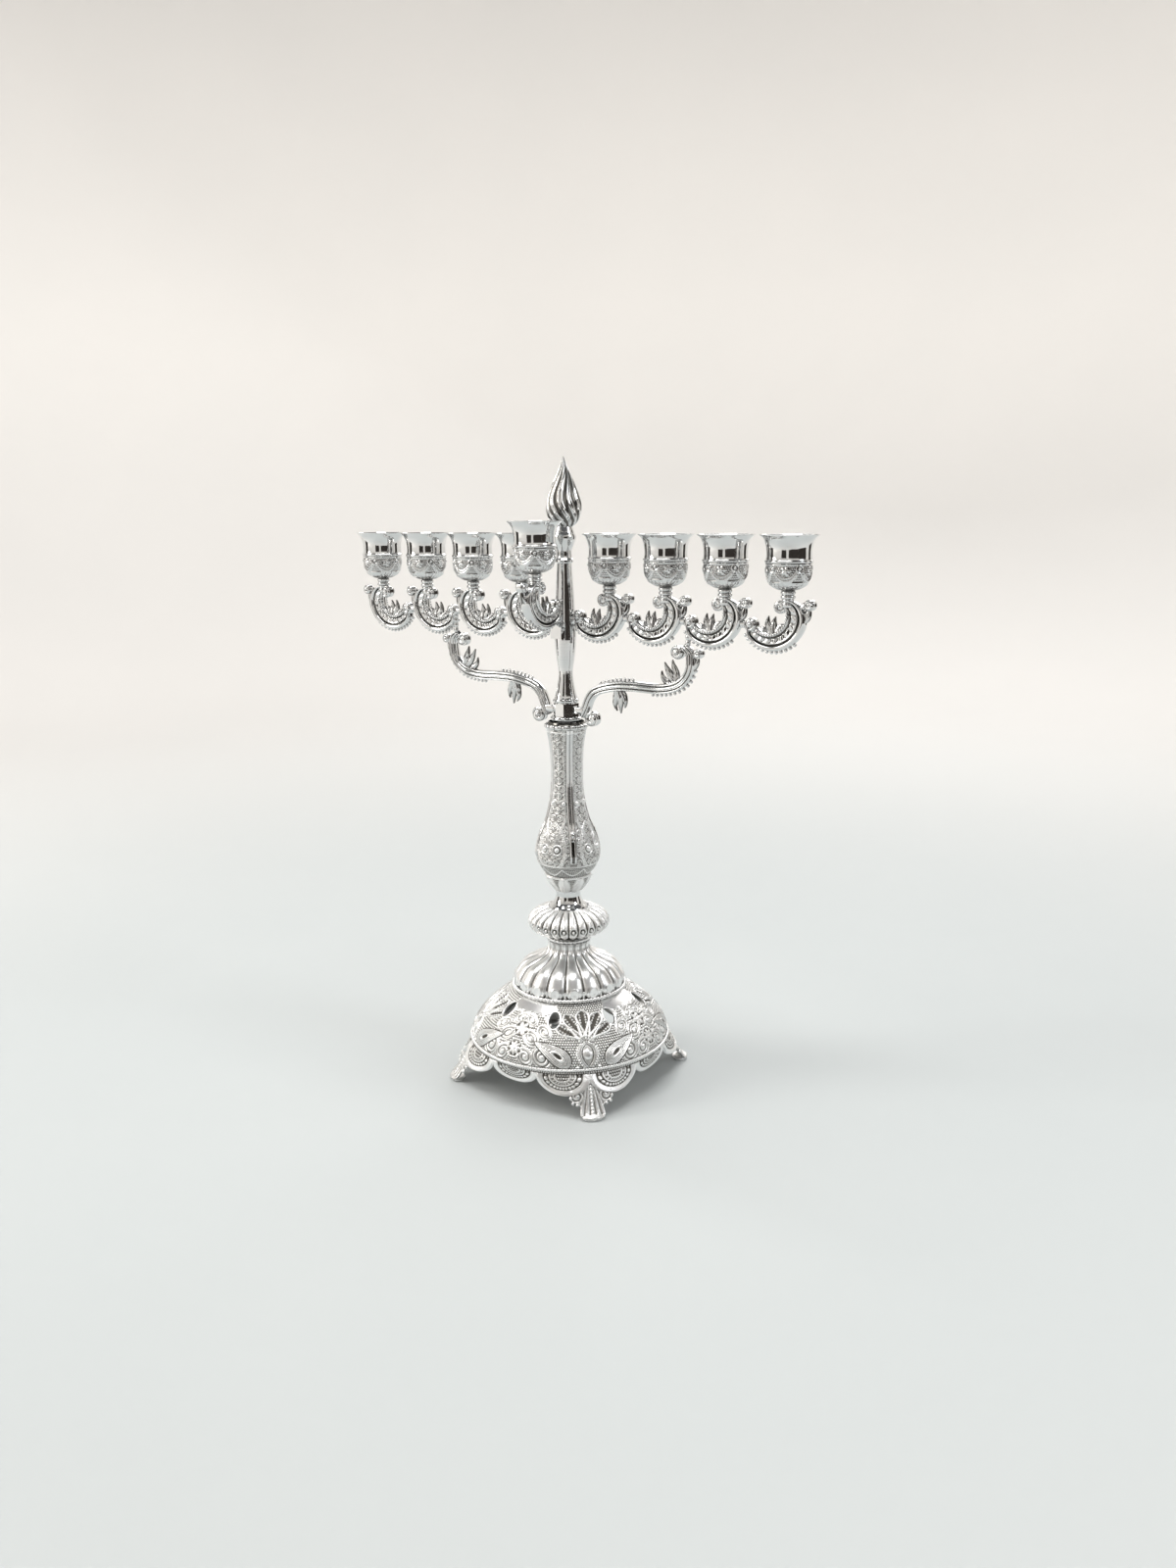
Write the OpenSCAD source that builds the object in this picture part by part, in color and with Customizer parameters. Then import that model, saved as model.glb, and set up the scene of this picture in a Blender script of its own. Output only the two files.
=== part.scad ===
// Nine-branched candelabrum: a pierced domed base on four feet, a turned column,
// a chain of scroll arms carrying eight cups in one row, and a ninth cup whose arm
// lifts out of a bracket in front of the stem. +Z is up, the row runs along X, and
// the origin is on the table under the column's axis.

/* [Base] */
// Radius of the dome at its rope rim
ridge_r = 72; // [60:1:90]
// Height of the rope rim above the table
ridge_z = 30; // [24:1:38]
// Height of the dome's flat top above the rope rim
dome_rise = 38; // [30:1:48]
// Wall of the dome casting
dome_wall = 1.8; // [1.4:0.1:3]
// Wall of the lobed skirt
skirt_wall = 1.8; // [1.4:0.1:3]
// Distance from the axis to a foot's toe
foot_reach = 91; // [84:1:105]
// Width of a foot's pad
foot_pad_w = 16; // [12:1:22]
// Thickness of a foot casting
foot_wall = 2.4; // [1.8:0.1:3.5]

/* [Column] */
// Radius of the fluted cap at its rim
cap_r = 40; // [32:1:48]
// Height of the fluted cap with its neck
cap_h = 35.5; // [28:0.5:45]
// Radius of the cap's neck
neck_r = 14.6; // [12:0.2:18]
// Height of the bead ring over the neck
neck_ring_h = 3; // [2:0.5:5]
// Radius of the gadrooned knop
knop_r = 29.3; // [24:0.1:35]
// Height of the gadrooned knop
knop_h = 21; // [16:0.5:27]
// Height of the polished spool
spool_h = 14.5; // [11:0.5:19]
// Waist radius of the polished spool
spool_r = 9; // [7.5:0.1:11]
// Height of the leaf cup under the baluster
leaf_cup_h = 13; // [10:0.5:17]
// Height of the baluster
baluster_h = 107; // [85:1:130]
// Largest radius of the baluster, at its belly
belly_r = 23; // [19:0.5:28]
// Smallest radius of the baluster, at its waist
waist_r = 10.5; // [9:0.5:13]
// Radius of the flange on the baluster
flange_r = 15.6; // [13:0.2:19]
// Height of the flange on the baluster
flange_h = 4.5; // [3:0.5:6]
// Width across the flats of the eight-sided arm hub
hub_af = 17; // [15:0.5:21]
// Height of the arm hub
hub_h = 9; // [8:0.5:12]
// Height of each plain ring at the hub
hub_ring_h = 4; // [3:0.5:5]
// Length of the stem above the hub
stem_h = 94; // [80:1:115]
// Largest radius of the stem
stem_r = 7.8; // [6.5:0.1:9.5]
// Height of the stem's top flange
stem_flange_h = 5; // [4:0.5:7]
// Height of the onion-shaped finial socket
socket_h = 20; // [16:0.5:25]
// Largest radius of the finial socket
socket_r = 8.4; // [7:0.1:10]
// Height of the flame finial
flame_h = 47.5; // [38:0.5:58]
// Largest radius of the flame finial
flame_r = 12.2; // [10:0.1:15]
// Wall of the hollow column pieces
column_wall = 2.2; // [1.6:0.1:3]

/* [Cups] */
// Radius of a cup's straight bore
cup_bore_r = 12.2; // [10:0.1:14]
// Length of a cup's straight bore
cup_bore_l = 16; // [13:0.5:20]
// Wall of a cup at its waist
cup_wall = 2; // [1.4:0.05:2.6]
// Flare of a cup's rim beyond its waist
cup_flare = 4.8; // [3:0.05:6]
// Floor of a cup
cup_floor = 3.2; // [2.6:0.1:4.5]
// Height of the collar under a cup
collar_h = 5.5; // [4:0.5:8]
// Radius of the collar under a cup
collar_r = 4.9; // [4.2:0.1:6]

/* [Arms] */
// Distance from the axis to the nearest cup of the row
first_cup = 37.2; // [36:0.2:44]
// Distance between neighbouring cups of the row
cup_pitch = 44.3; // [42:0.1:54]
// Height of the row's arm seats above the top of the hub
seat_rise = 74.5; // [70:0.5:84]
// Thickness of the scroll arms
arm_t = 7; // [5.5:0.5:9]
// Outer radius of an arm's scroll
scroll_r = 23.2; // [21:0.1:24]
// Distance from the axis to the servant cup
servant_reach = 35; // [34:0.5:46]
// Height of the servant cup above the row
servant_lift = 8.8; // [6:0.1:14]
// Width of an S-arm's band
s_band = 8.2; // [6.5:0.1:10]

/* [Fastening] */
// Radius of the threaded tie rod
rod_r = 3; // [2.4:0.1:3.6]
// Gap around the tie rod in every piece it passes through
rod_gap = 0.3; // [0.2:0.05:0.6]
// Radius of the cup studs
stud_r = 1.5; // [1.2:0.1:1.8]
// Radius of the pins and screws in the arms
pin_r = 1.6; // [1.3:0.1:1.9]
// Gap around studs and pins
pin_gap = 0.05; // [0.03:0.01:0.1]
// Gap around the servant arm's tang in its bracket
tang_gap = 0.2; // [0.15:0.05:0.4]
// Depth of the tang in the bracket
tang_depth = 9; // [7:0.5:11]

/* [Hidden] */
$fn = 96;

polished = [0.86, 0.87, 0.88];
frosted = [0.93, 0.93, 0.92];
steel = [0.6, 0.6, 0.62];

// Heights, stacked from the table up
dome_top_z = ridge_z + dome_rise;
cap_top_z = dome_top_z + cap_h;
knop_z = cap_top_z + neck_ring_h;
spool_z = knop_z + knop_h;
leaf_cup_z = spool_z + spool_h;
baluster_z = leaf_cup_z + leaf_cup_h;
flange_z = baluster_z + baluster_h;
lower_ring_z = flange_z + flange_h;
hub_z = lower_ring_z + hub_ring_h;
upper_ring_z = hub_z + hub_h;
stem_z = upper_ring_z + hub_ring_h;
stem_flange_z = stem_z + stem_h;
socket_z = stem_flange_z + stem_flange_h;
flame_z = socket_z + socket_h;
seat_z = stem_z + seat_rise;
servant_seat_z = seat_z + servant_lift;

rod_hole_r = rod_r + rod_gap;
pin_hole_r = pin_r + pin_gap;
stud_hole_r = stud_r + pin_gap;
dome_plate = 2.5;
washer_h = 1.5;
nut_h = 6;
nut_r = 6.5;
rod_tail = 3;
rod_in_stem = 20;
rod_end_room = 1;
rope_r = 1.4;
rope_lift = 1.3;
rope_gap = 0.35;

// A smooth line through points, n steps between each pair
function spline(p, n = 6) = let(k = len(p) - 1)
    [for (i = [0 : k - 1], j = [0 : n - 1])
        spline_at(p[max(i - 1, 0)], p[i], p[i + 1], p[min(i + 2, k)], j / n),
     p[k]];
function spline_at(a, b, c, d, t) =
    0.5 * (2 * b + (c - a) * t + (2 * a - 5 * b + 4 * c - d) * t * t + (3 * b - a - 3 * c + d) * t * t * t);
function arc(c, r, a0, a1, n = 12) =
    [for (i = [0 : n]) let(a = a0 + (a1 - a0) * i / n) c + r * [cos(a), sin(a)]];

// A turned piece: its outer profile down to the axis, less a bore
module turned(profile, bore) {
    low = profile[0][1];
    high = profile[len(profile) - 1][1];
    difference() {
        rotate_extrude() polygon(concat([[0, low]], profile, [[0, high]]));
        translate([0, 0, low - 1]) cylinder(r = bore, h = high - low + 2);
    }
}

// A turned shell of one wall, open at both ends
module turned_shell(profile, wall) {
    rotate_extrude() polygon(concat(profile,
        [for (i = [len(profile) - 1 : -1 : 0]) [max(profile[i][0] - wall, rod_hole_r), profile[i][1]]]));
}

// ---- base ----
dome_inset = 1;
dome_profile = spline([[ridge_r, ridge_z], [ridge_r + 0.2, ridge_z + 3.5],
    [ridge_r - 2.2, ridge_z + 0.28 * dome_rise], [ridge_r - 9.2, ridge_z + 0.52 * dome_rise],
    [cap_r + (ridge_r - cap_r) * 0.32, ridge_z + 0.8 * dome_rise],
    [cap_r - dome_inset, dome_top_z]], 5);

module base_dome() {
    color(frosted) difference() {
        union() {
            rotate_extrude() polygon(concat(dome_profile,
                [for (i = [len(dome_profile) - 1 : -1 : 0])
                    dome_profile[i] - dome_wall * [1, i / len(dome_profile)]]));
            translate([0, 0, dome_top_z - dome_plate]) cylinder(r = cap_r - dome_inset, h = dome_plate);
        }
        translate([0, 0, dome_top_z - dome_plate - 1]) cylinder(r = rod_hole_r, h = dome_plate + 2);
        for (k = [0 : 7]) rotate([0, 0, 22.5 + 45 * k]) dome_window();
        for (k = [0 : 3]) rotate([0, 0, 45 + 90 * k]) rivet_hole();
    }
}

// One of the openings around the dome's shoulder
window_w = 9;
module dome_window() {
    translate([cap_r + 2, 0, dome_top_z - 9]) rotate([0, 90, 0])
        translate([0, 0, -8]) cylinder(d = window_w, h = 24, $fn = 24);
}

// The skirt leans inwards at the sides and out at the corners, and its lower edge is
// three round lobes on each side
skirt_lean_mid = 0.19;
skirt_lean_swing = 0.44;
side_lobe_deg = 15.5;
corner_gap = 0.8;
foot_leaf_w = 30;
corner_deg = 45 - asin((foot_leaf_w / 2 + corner_gap) / ridge_r);
side_lobe_drop = 10;
corner_lobe_drop = 11.5;
skirt_band = 3;
skirt_steps = 120;
skirt_rings = 4;
function from_side(a) = let(b = (a + 45) % 90) abs(b - 45);
function skirt_lean(a) = skirt_lean_mid - skirt_lean_swing * cos(4 * a);
function lobe(t) = sqrt(max(0, 1 - t * t));
function skirt_drop(a) = let(f = from_side(a))
    f < side_lobe_deg ? skirt_band + side_lobe_drop * lobe(f / side_lobe_deg) :
    f < corner_deg ?
        skirt_band + corner_lobe_drop * lobe(2 * (f - side_lobe_deg) / (corner_deg - side_lobe_deg) - 1) :
    skirt_band;
function skirt_point(a, t, inner) =
    let(drop = skirt_drop(a) * t, r = ridge_r + drop * skirt_lean(a) - inner * skirt_wall)
    [r * cos(a), r * sin(a), ridge_z - drop];

module base_skirt() {
    n = skirt_steps;
    m = skirt_rings;
    loop = concat([for (j = [0 : m]) [j / m, 0]], [for (j = [m : -1 : 0]) [j / m, 1]]);
    k = len(loop);
    color(frosted) polyhedron(
        points = [for (i = [0 : n - 1], q = loop) skirt_point(360 * i / n, q[0], q[1])],
        faces = [for (i = [0 : n - 1], j = [0 : k - 1])
            let(i2 = (i + 1) % n, j2 = (j + 1) % k) each [
                [i * k + j, i * k + j2, i2 * k + j2], [i * k + j, i2 * k + j2, i2 * k + j]]]);
}

module base_rope_rim() {
    color(polished) translate([0, 0, ridge_z + rope_lift]) rotate_extrude()
        translate([ridge_r + rope_gap + rope_r, 0]) circle(r = rope_r, $fn = 24);
}

// Foot: a leaning casting with a leaf, two side curls and a flat-bottomed toe. Its
// radial section and its front outline are crossed.
foot_in = 0.2;
foot_top_z = ridge_z - skirt_band - 0.2;
foot_lean = skirt_lean_mid + skirt_lean_swing;
foot_top_r = ridge_r + (ridge_z - foot_top_z) * foot_lean - foot_in;
curl_r = 5.2;
toe_flat = 7;
toe_h = 2.6;
foot_line = spline([[foot_top_r, foot_top_z],
    [foot_top_r + 0.3 * (foot_reach - foot_top_r), foot_top_z * 0.66],
    [foot_top_r + 0.58 * (foot_reach - foot_top_r), foot_top_z * 0.33],
    [foot_reach - 3.4, toe_h + 1.4], [foot_reach, toe_h]], 4);
module foot() {
    foot_casting();
    foot_tab();
}
// A tab that stands inside the dome's wall and takes a rivet through it
tab_w = 9;
tab_t = 2.2;
tab_gap = 0.3;
tab_out_r = ridge_r - dome_wall - tab_gap - 0.15;
tab_top = ridge_z + 5.2;
tab_low = foot_top_z - 5.5;
rivet_z = ridge_z + 2.8;
rivet_r = 1.6;
rivet_hole_r = rivet_r + pin_gap;
module foot_tab() {
    difference() {
        union() {
            translate([tab_out_r - tab_t, -tab_w / 2, tab_low]) cube([tab_t, tab_w, tab_top - tab_low]);
            translate([tab_out_r - tab_t, -tab_w / 2, tab_low])
                cube([foot_top_r - tab_out_r + 1, tab_w, foot_top_z - 1.2 - tab_low]);
        }
        rivet_hole();
    }
}
module rivet_hole() {
    translate([tab_out_r - tab_t - 1, 0, rivet_z]) rotate([0, 90, 0])
        cylinder(r = rivet_hole_r, h = tab_t + 8, $fn = 24);
}
module foot_casting() {
    intersection() {
        rotate([90, 0, 0]) linear_extrude(height = foot_leaf_w + 8, center = true)
            polygon(concat(foot_line, [[foot_reach, 0], [foot_reach - toe_flat, 0]],
                [for (i = [len(foot_line) - 4 : -1 : 0]) foot_line[i] - [foot_wall * 0.85,
                    foot_wall * 0.55]]));
        translate([ridge_r - 12, 0, 0]) rotate([90, 0, 90])
            linear_extrude(height = foot_reach - ridge_r + 20) foot_front();
    }
}
module foot_front() {
    translate([0, foot_pad_w / 2]) circle(d = foot_pad_w, $fn = 48);
    translate([-foot_pad_w / 2 + 2.4, 0]) square([foot_pad_w - 4.8, 8]);
    translate([-foot_pad_w * 0.36, 0]) square([foot_pad_w * 0.72, foot_top_z * 0.7]);
    for (s = [-1, 1]) translate([s * (foot_leaf_w / 2 - curl_r), foot_top_z * 0.47])
        circle(r = curl_r, $fn = 36);
    polygon([[-foot_leaf_w / 2, foot_top_z * 0.5], [foot_leaf_w / 2, foot_top_z * 0.5],
             [foot_leaf_w * 0.44, foot_top_z], [-foot_leaf_w * 0.44, foot_top_z]]);
}
module foot_at(k) rotate([0, 0, 45 + 90 * k]) foot();

// The four rivets that hold the feet to the dome
rivet_head_r = 3;
rivet_head_h = 1.2;
module foot_rivets() {
    color(steel) for (k = [0 : 3]) rotate([0, 0, 45 + 90 * k])
        translate([tab_out_r - tab_t - 0.02, 0, rivet_z]) {
        rotate([0, 90, 0]) cylinder(r = rivet_r, h = tab_t + tab_gap + dome_wall + 0.1, $fn = 24);
        rotate([0, -90, 0]) cylinder(r = rivet_head_r, h = rivet_head_h, $fn = 24);
    }
}

// ---- column ----
cap_profile = spline([[cap_r - 0.6, 0], [cap_r, 3.5], [cap_r - 0.3, 0.22 * cap_h],
    [cap_r - 2.2, 0.32 * cap_h], [cap_r * 0.83, 0.47 * cap_h],
    [neck_r + (cap_r - neck_r) * 0.38, 0.6 * cap_h], [neck_r + 3.6, 0.72 * cap_h],
    [neck_r + 0.4, 0.83 * cap_h], [neck_r, 0.92 * cap_h], [neck_r + 0.8, cap_h]], 4);
module fluted_cap() {
    color(polished) translate([0, 0, dome_top_z]) turned_shell(cap_profile, column_wall);
}
module cap_bead_rim() {
    color(polished) translate([0, 0, dome_top_z + 1.6]) rotate_extrude()
        translate([cap_r + rope_r + 0.1, 0]) circle(r = rope_r, $fn = 24);
}
module neck_bead_ring() {
    color(polished) translate([0, 0, cap_top_z])
        turned(concat([[neck_r + 0.6, 0]],
            arc([neck_r + 0.4, neck_ring_h / 2], neck_ring_h / 2, -80, 80, 8),
            [[neck_r + 0.6, neck_ring_h]]), rod_hole_r);
}
knop_foot_r = neck_r + 0.6;
spool_flange_r = 15;
knop_profile = spline([[knop_foot_r, 0], [knop_foot_r + 0.5, 0.08 * knop_h],
    [knop_r * 0.68, 0.18 * knop_h], [knop_r * 0.89, 0.29 * knop_h], [knop_r * 0.98, 0.42 * knop_h],
    [knop_r, 0.55 * knop_h], [knop_r * 0.93, 0.73 * knop_h], [knop_r * 0.75, 0.89 * knop_h],
    [spool_flange_r, knop_h]], 4);
module gadroon_knop() {
    color(frosted) translate([0, 0, knop_z]) turned_shell(knop_profile, column_wall);
}
leaf_cup_r = 9.8;
spool_profile = spline([[spool_flange_r - 0.2, 0], [spool_flange_r - 1.4, 0.14 * spool_h],
    [spool_r + 1.8, 0.34 * spool_h], [spool_r, 0.66 * spool_h], [leaf_cup_r - 0.3, spool_h]], 6);
module polished_spool() {
    color(polished) translate([0, 0, spool_z]) turned(spool_profile, rod_hole_r);
}
baluster_foot_r = 16.4;
leaf_cup_profile = spline([[leaf_cup_r - 0.3, 0], [leaf_cup_r + 2.2, 0.22 * leaf_cup_h],
    [baluster_foot_r - 1, 0.6 * leaf_cup_h], [baluster_foot_r + 0.4, leaf_cup_h]], 6);
module leaf_cup() {
    color(frosted) translate([0, 0, leaf_cup_z]) turned(leaf_cup_profile, rod_hole_r);
}
baluster_profile = spline([[baluster_foot_r, 0], [belly_r * 0.87, 0.044 * baluster_h],
    [belly_r * 0.98, 0.095 * baluster_h], [belly_r, 0.155 * baluster_h],
    [belly_r * 0.9, 0.25 * baluster_h], [waist_r + 7.1, 0.318 * baluster_h],
    [waist_r + 4.2, 0.386 * baluster_h], [waist_r + 1.3, 0.5 * baluster_h],
    [waist_r + 0.1, 0.61 * baluster_h], [waist_r, 0.72 * baluster_h],
    [waist_r + 0.4, 0.84 * baluster_h], [waist_r + 1.6, 0.93 * baluster_h],
    [flange_r - 2, baluster_h]], 4);
module baluster() {
    color(frosted) translate([0, 0, baluster_z]) turned_shell(baluster_profile, column_wall);
}
module baluster_flange() {
    color(polished) translate([0, 0, flange_z])
        turned([[flange_r - 2, 0], [flange_r, 0.2 * flange_h], [flange_r, 0.45 * flange_h],
            [flange_r - 1.6, 0.6 * flange_h], [flange_r - 2.8, flange_h]], rod_hole_r);
}
hub_r = hub_af / 2;
module plain_ring(r) {
    turned(concat([[r - 1.2, 0]],
        arc([r - hub_ring_h * 0.36, hub_ring_h * 0.5], hub_ring_h * 0.36, -80, 80, 8),
        [[r - 1.2, hub_ring_h]]), rod_hole_r);
}
module hub_lower_ring() {
    color(polished) translate([0, 0, lower_ring_z]) plain_ring(hub_r + 2.8);
}
module arm_hub() {
    color(polished) translate([0, 0, hub_z]) difference() {
        rotate([0, 0, 22.5]) cylinder(r = hub_r / cos(22.5), h = hub_h, $fn = 8);
        translate([0, 0, -1]) cylinder(r = rod_hole_r, h = hub_h + 2);
        for (s = [-1, 1]) translate([s * (hub_r - screw_in_hub), 0, hub_h / 2]) rotate([0, s * 90, 0])
            cylinder(r = pin_hole_r, h = screw_in_hub + 1, $fn = 32);
    }
}
screw_in_hub = 4;
module hub_upper_ring() {
    color(polished) translate([0, 0, upper_ring_z]) plain_ring(hub_r + 0.9);
}
stem_top_r = 5.1;
stem_waist_r = 5.1;
stem_profile = spline([[hub_r - 0.4, 0], [stem_waist_r + 1.8, 0.05 * stem_h],
    [stem_waist_r, 0.18 * stem_h], [stem_r - 1.1, 0.32 * stem_h], [stem_r, 0.46 * stem_h],
    [stem_r - 0.5, 0.58 * stem_h], [stem_r - 1, 0.72 * stem_h], [stem_top_r, stem_h]], 6);
stud_long_r = 1.8;
stud_in_stem = 10;
stem_boss_r = 3;
pin_z = seat_z - 20.4;
module stem() {
    color(polished) difference() {
        union() {
            translate([0, 0, stem_z]) rotate_extrude()
                polygon(concat([[0, 0]], stem_profile, [[0, stem_h]]));
            translate([0, 0, pin_z]) rotate([0, 90, 0])
                cylinder(r = stem_boss_r, h = 2 * stem_r, center = true, $fn = 48);
        }
        translate([0, 0, stem_z - 1]) cylinder(r = rod_r + pin_gap, h = rod_in_stem + rod_end_room + 1);
        translate([0, 0, stem_flange_z - stud_in_stem - 0.5])
            cylinder(r = stud_long_r + pin_gap, h = stud_in_stem + 1.5, $fn = 32);
        translate([0, 0, pin_z]) rotate([0, 90, 0])
            cylinder(r = pin_hole_r, h = 2 * stem_r + 4, center = true, $fn = 32);
        translate([-bracket_w / 2, -stem_r - 3, bracket_z])
            cube([bracket_w, stem_r + 3 - bracket_seat, bracket_h]);
    }
}
module stem_flange() {
    color(polished) translate([0, 0, stem_flange_z])
        turned([[stem_top_r, 0], [stem_top_r + 1.3, 0.2 * stem_flange_h],
            [stem_top_r + 1.4, 0.5 * stem_flange_h], [stem_top_r + 0.5, 0.72 * stem_flange_h],
            [stem_top_r + 0.2, stem_flange_h]], stud_long_r + pin_gap);
}
socket_profile = spline([[stem_top_r + 0.2, 0], [stem_top_r + 0.2, 0.2 * socket_h],
    [socket_r - 1.2, 0.42 * socket_h], [socket_r, 0.64 * socket_h],
    [socket_r - 1.2, 0.82 * socket_h], [socket_r - 2.6, socket_h]], 6);
module finial_socket() {
    color(polished) translate([0, 0, socket_z]) turned(socket_profile, stud_long_r + pin_gap);
}
stud_in_flame = 8;
flame_tip_r = 0.3;
flame_profile = spline([[socket_r - 2.6, 0], [flame_r * 0.76, 0.072 * flame_h],
    [flame_r * 0.96, 0.18 * flame_h], [flame_r, 0.31 * flame_h], [flame_r * 0.84, 0.47 * flame_h],
    [flame_r * 0.53, 0.66 * flame_h], [flame_r * 0.24, 0.84 * flame_h],
    [flame_tip_r, flame_h]], 6);
module flame_finial() {
    color(polished) translate([0, 0, flame_z]) difference() {
        rotate_extrude() polygon(concat([[0, 0]], flame_profile, [[0, flame_h]]));
        translate([0, 0, -1]) cylinder(r = stud_long_r + pin_gap, h = stud_in_flame + 1.5, $fn = 32);
    }
}
module finial_stud() {
    color(steel) translate([0, 0, stem_flange_z - stud_in_stem])
        cylinder(r = stud_long_r, h = stud_in_stem + stem_flange_h + socket_h + stud_in_flame, $fn = 32);
}
nut_top_z = dome_top_z - dome_plate - washer_h;
module tie_rod() {
    color(steel) translate([0, 0, nut_top_z - nut_h - rod_tail])
        cylinder(r = rod_r, h = stem_z + rod_in_stem - (nut_top_z - nut_h - rod_tail), $fn = 48);
}
module tie_nut() {
    color(steel) translate([0, 0, nut_top_z - nut_h]) difference() {
        cylinder(r = nut_r, h = nut_h, $fn = 6);
        translate([0, 0, -1]) cylinder(r = rod_r + 0.02, h = nut_h + 2, $fn = 48);
    }
}
module tie_washer() {
    color(steel) translate([0, 0, nut_top_z]) difference() {
        cylinder(r = nut_r + 4, h = washer_h);
        translate([0, 0, -1]) cylinder(r = rod_hole_r, h = washer_h + 2);
    }
}

// ---- scroll arms ----
// Drawn in the arm's own plane: u runs away from the column, v up, and the cup's axis
// meets its seat at the origin.
scroll_c = [-9.6, -10];
shoulder_c = [0.5, -13];
shoulder_r = scroll_r - norm(shoulder_c - scroll_c);
shoulder_deg = atan2(shoulder_c[1] - scroll_c[1], shoulder_c[0] - scroll_c[0]);
tail_deg = 208;
eye_c = [-12, -10.4];
eye_r = 11.6;
top_curl_c = [-4.2, -4.7];
top_curl_r = 4.4;
tail_curl_c = [-24.8, -16.7];
tail_curl_r = 4.5;
ear_c = [15.4, -3.4];
ear_r = 3.6;
seat_boss_r = 4.2;
seat_boss_h = 3;
stud_in_arm = 7.5;
reach_max = 60;
module scroll_outline() {
    difference() {
        union() {
            intersection() {
                translate(scroll_c) circle(r = scroll_r);
                polygon([scroll_c, scroll_c + reach_max * [cos(tail_deg), sin(tail_deg)],
                    [-reach_max, -reach_max], [reach_max, -reach_max],
                    scroll_c + reach_max * [cos(shoulder_deg), sin(shoulder_deg)]]);
            }
            intersection() {
                translate(shoulder_c) circle(r = shoulder_r);
                polygon([scroll_c, scroll_c + reach_max * [cos(shoulder_deg), sin(shoulder_deg)],
                    [reach_max, reach_max], [-2, reach_max], [-2, scroll_c[1]]]);
            }
        }
        translate(eye_c) circle(r = eye_r);
    }
    translate(top_curl_c) circle(r = top_curl_r, $fn = 48);
    translate(tail_curl_c) circle(r = tail_curl_r, $fn = 48);
    translate(ear_c) circle(r = ear_r, $fn = 48);
    polygon([[8, -4.2], [12.2, -13], [14.6, -6.8], [12.6, -1.6]]);
    polygon([[-13, -24], [-8, -24], [-5.6, -18], [-8, -11.6], [-10.6, -15.6], [-12.8, -10.8],
        [-14.6, -20.6]]);
}
module scroll_arm() {
    difference() {
        union() {
            rotate([90, 0, 0]) linear_extrude(height = arm_t, center = true) scroll_outline();
            translate([0, 0, -seat_boss_h]) cylinder(r = seat_boss_r, h = seat_boss_h, $fn = 48);
        }
        translate([0, 0, -stud_in_arm - 0.5]) cylinder(r = stud_hole_r, h = stud_in_arm + 2, $fn = 32);
    }
}
function cup_x(i) = first_cup + (i - 1) * cup_pitch;
function side_edge(v) = scroll_c[0] + sqrt(scroll_r * scroll_r - pow(v - scroll_c[1], 2));
// A boss on each arm's tail sits in a shallow flat on the arm before it, and a pin
// runs through both
tail_v = tail_curl_c[1];
tail_boss_r = 2.6;
flat_depth = 0.4;
arm_pin_l = 5;
inner_face = stem_r + 0.1;
function flat_x(i) = cup_x(i) + side_edge(tail_v) - flat_depth;
module row_arm(i) {
    difference() {
        union() {
            translate([cup_x(i), 0, seat_z]) scroll_arm();
            if (i > 1) translate([flat_x(i - 1) + 0.03, 0, seat_z + tail_v]) rotate([0, 90, 0])
                cylinder(r = tail_boss_r, h = cup_x(i) + tail_curl_c[0] - flat_x(i - 1), $fn = 48);
        }
        translate([-reach_max, -arm_t, seat_z - 2 * scroll_r - 10])
            cube([reach_max + inner_face, 2 * arm_t, 3 * scroll_r]);
        if (i == 1) translate([0, 0, pin_z]) rotate([0, 90, 0])
            cylinder(r = pin_hole_r, h = cross_pin_l / 2 + 0.4, $fn = 32);
        if (i > 1) arm_pin(i - 1, pin_gap);
        if (i < 4) {
            arm_pin(i, pin_gap);
            translate([flat_x(i), 0, seat_z + tail_v]) rotate([0, 90, 0])
                cylinder(r = tail_boss_r + 0.2, h = 6, $fn = 48);
        }
        if (i == 3) s_link_pin(pin_gap);
    }
}
cross_pin_l = 26;
module stem_cross_pin() {
    color(steel) translate([0, 0, pin_z]) rotate([0, 90, 0])
        cylinder(r = pin_r, h = cross_pin_l, center = true, $fn = 32);
}
// The pin between arm i and the next one out
module arm_pin(i, gap) {
    x0 = flat_x(i) - arm_pin_l;
    x1 = cup_x(i + 1) + tail_curl_c[0] + tail_curl_r * 0.4;
    translate([x0 - gap, 0, seat_z + tail_v]) rotate([0, 90, 0])
        cylinder(r = pin_r + gap, h = x1 - x0 + 2 * gap, $fn = 32);
}
module arm_pins() {
    color(steel) for (s = [0, 1], i = [1 : 3]) mirror([s, 0, 0]) arm_pin(i, 0);
}

// ---- S-arms ----
s_end_z = seat_z - 31.5;
s_mid_z = hub_z + 24.6;
s_base_z = hub_z + hub_h / 2;
s_top_x = (cup_x(2) + cup_x(3)) / 2 - 2;
s_spine = spline([[hub_r + 6, s_base_z - 4.6], [hub_r + 8.8, s_base_z + 1.5],
    [hub_r + 13, s_mid_z - 9.5], [hub_r + 20, s_mid_z - 4.2], [s_top_x * 0.43, s_mid_z - 0.6],
    [s_top_x * 0.58, s_mid_z], [s_top_x * 0.76, s_mid_z - 0.2], [s_top_x - 11.5, s_mid_z + 2.4],
    [s_top_x - 4, s_mid_z + 8], [s_top_x - 0.4, s_mid_z + 15], [s_top_x - 0.6, s_end_z - 6.5],
    [s_top_x - 5.6, s_end_z - 1.5]], 5);
s_foot_curl_c = [hub_r + 14.5, s_base_z - 5];
s_foot_curl_r = 5.4;
s_top_curl_c = [s_top_x - 10, s_end_z - 6];
s_top_curl_r = 4.8;
s_ear_c = [s_top_x + 5.6, s_end_z - 6.2];
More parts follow.
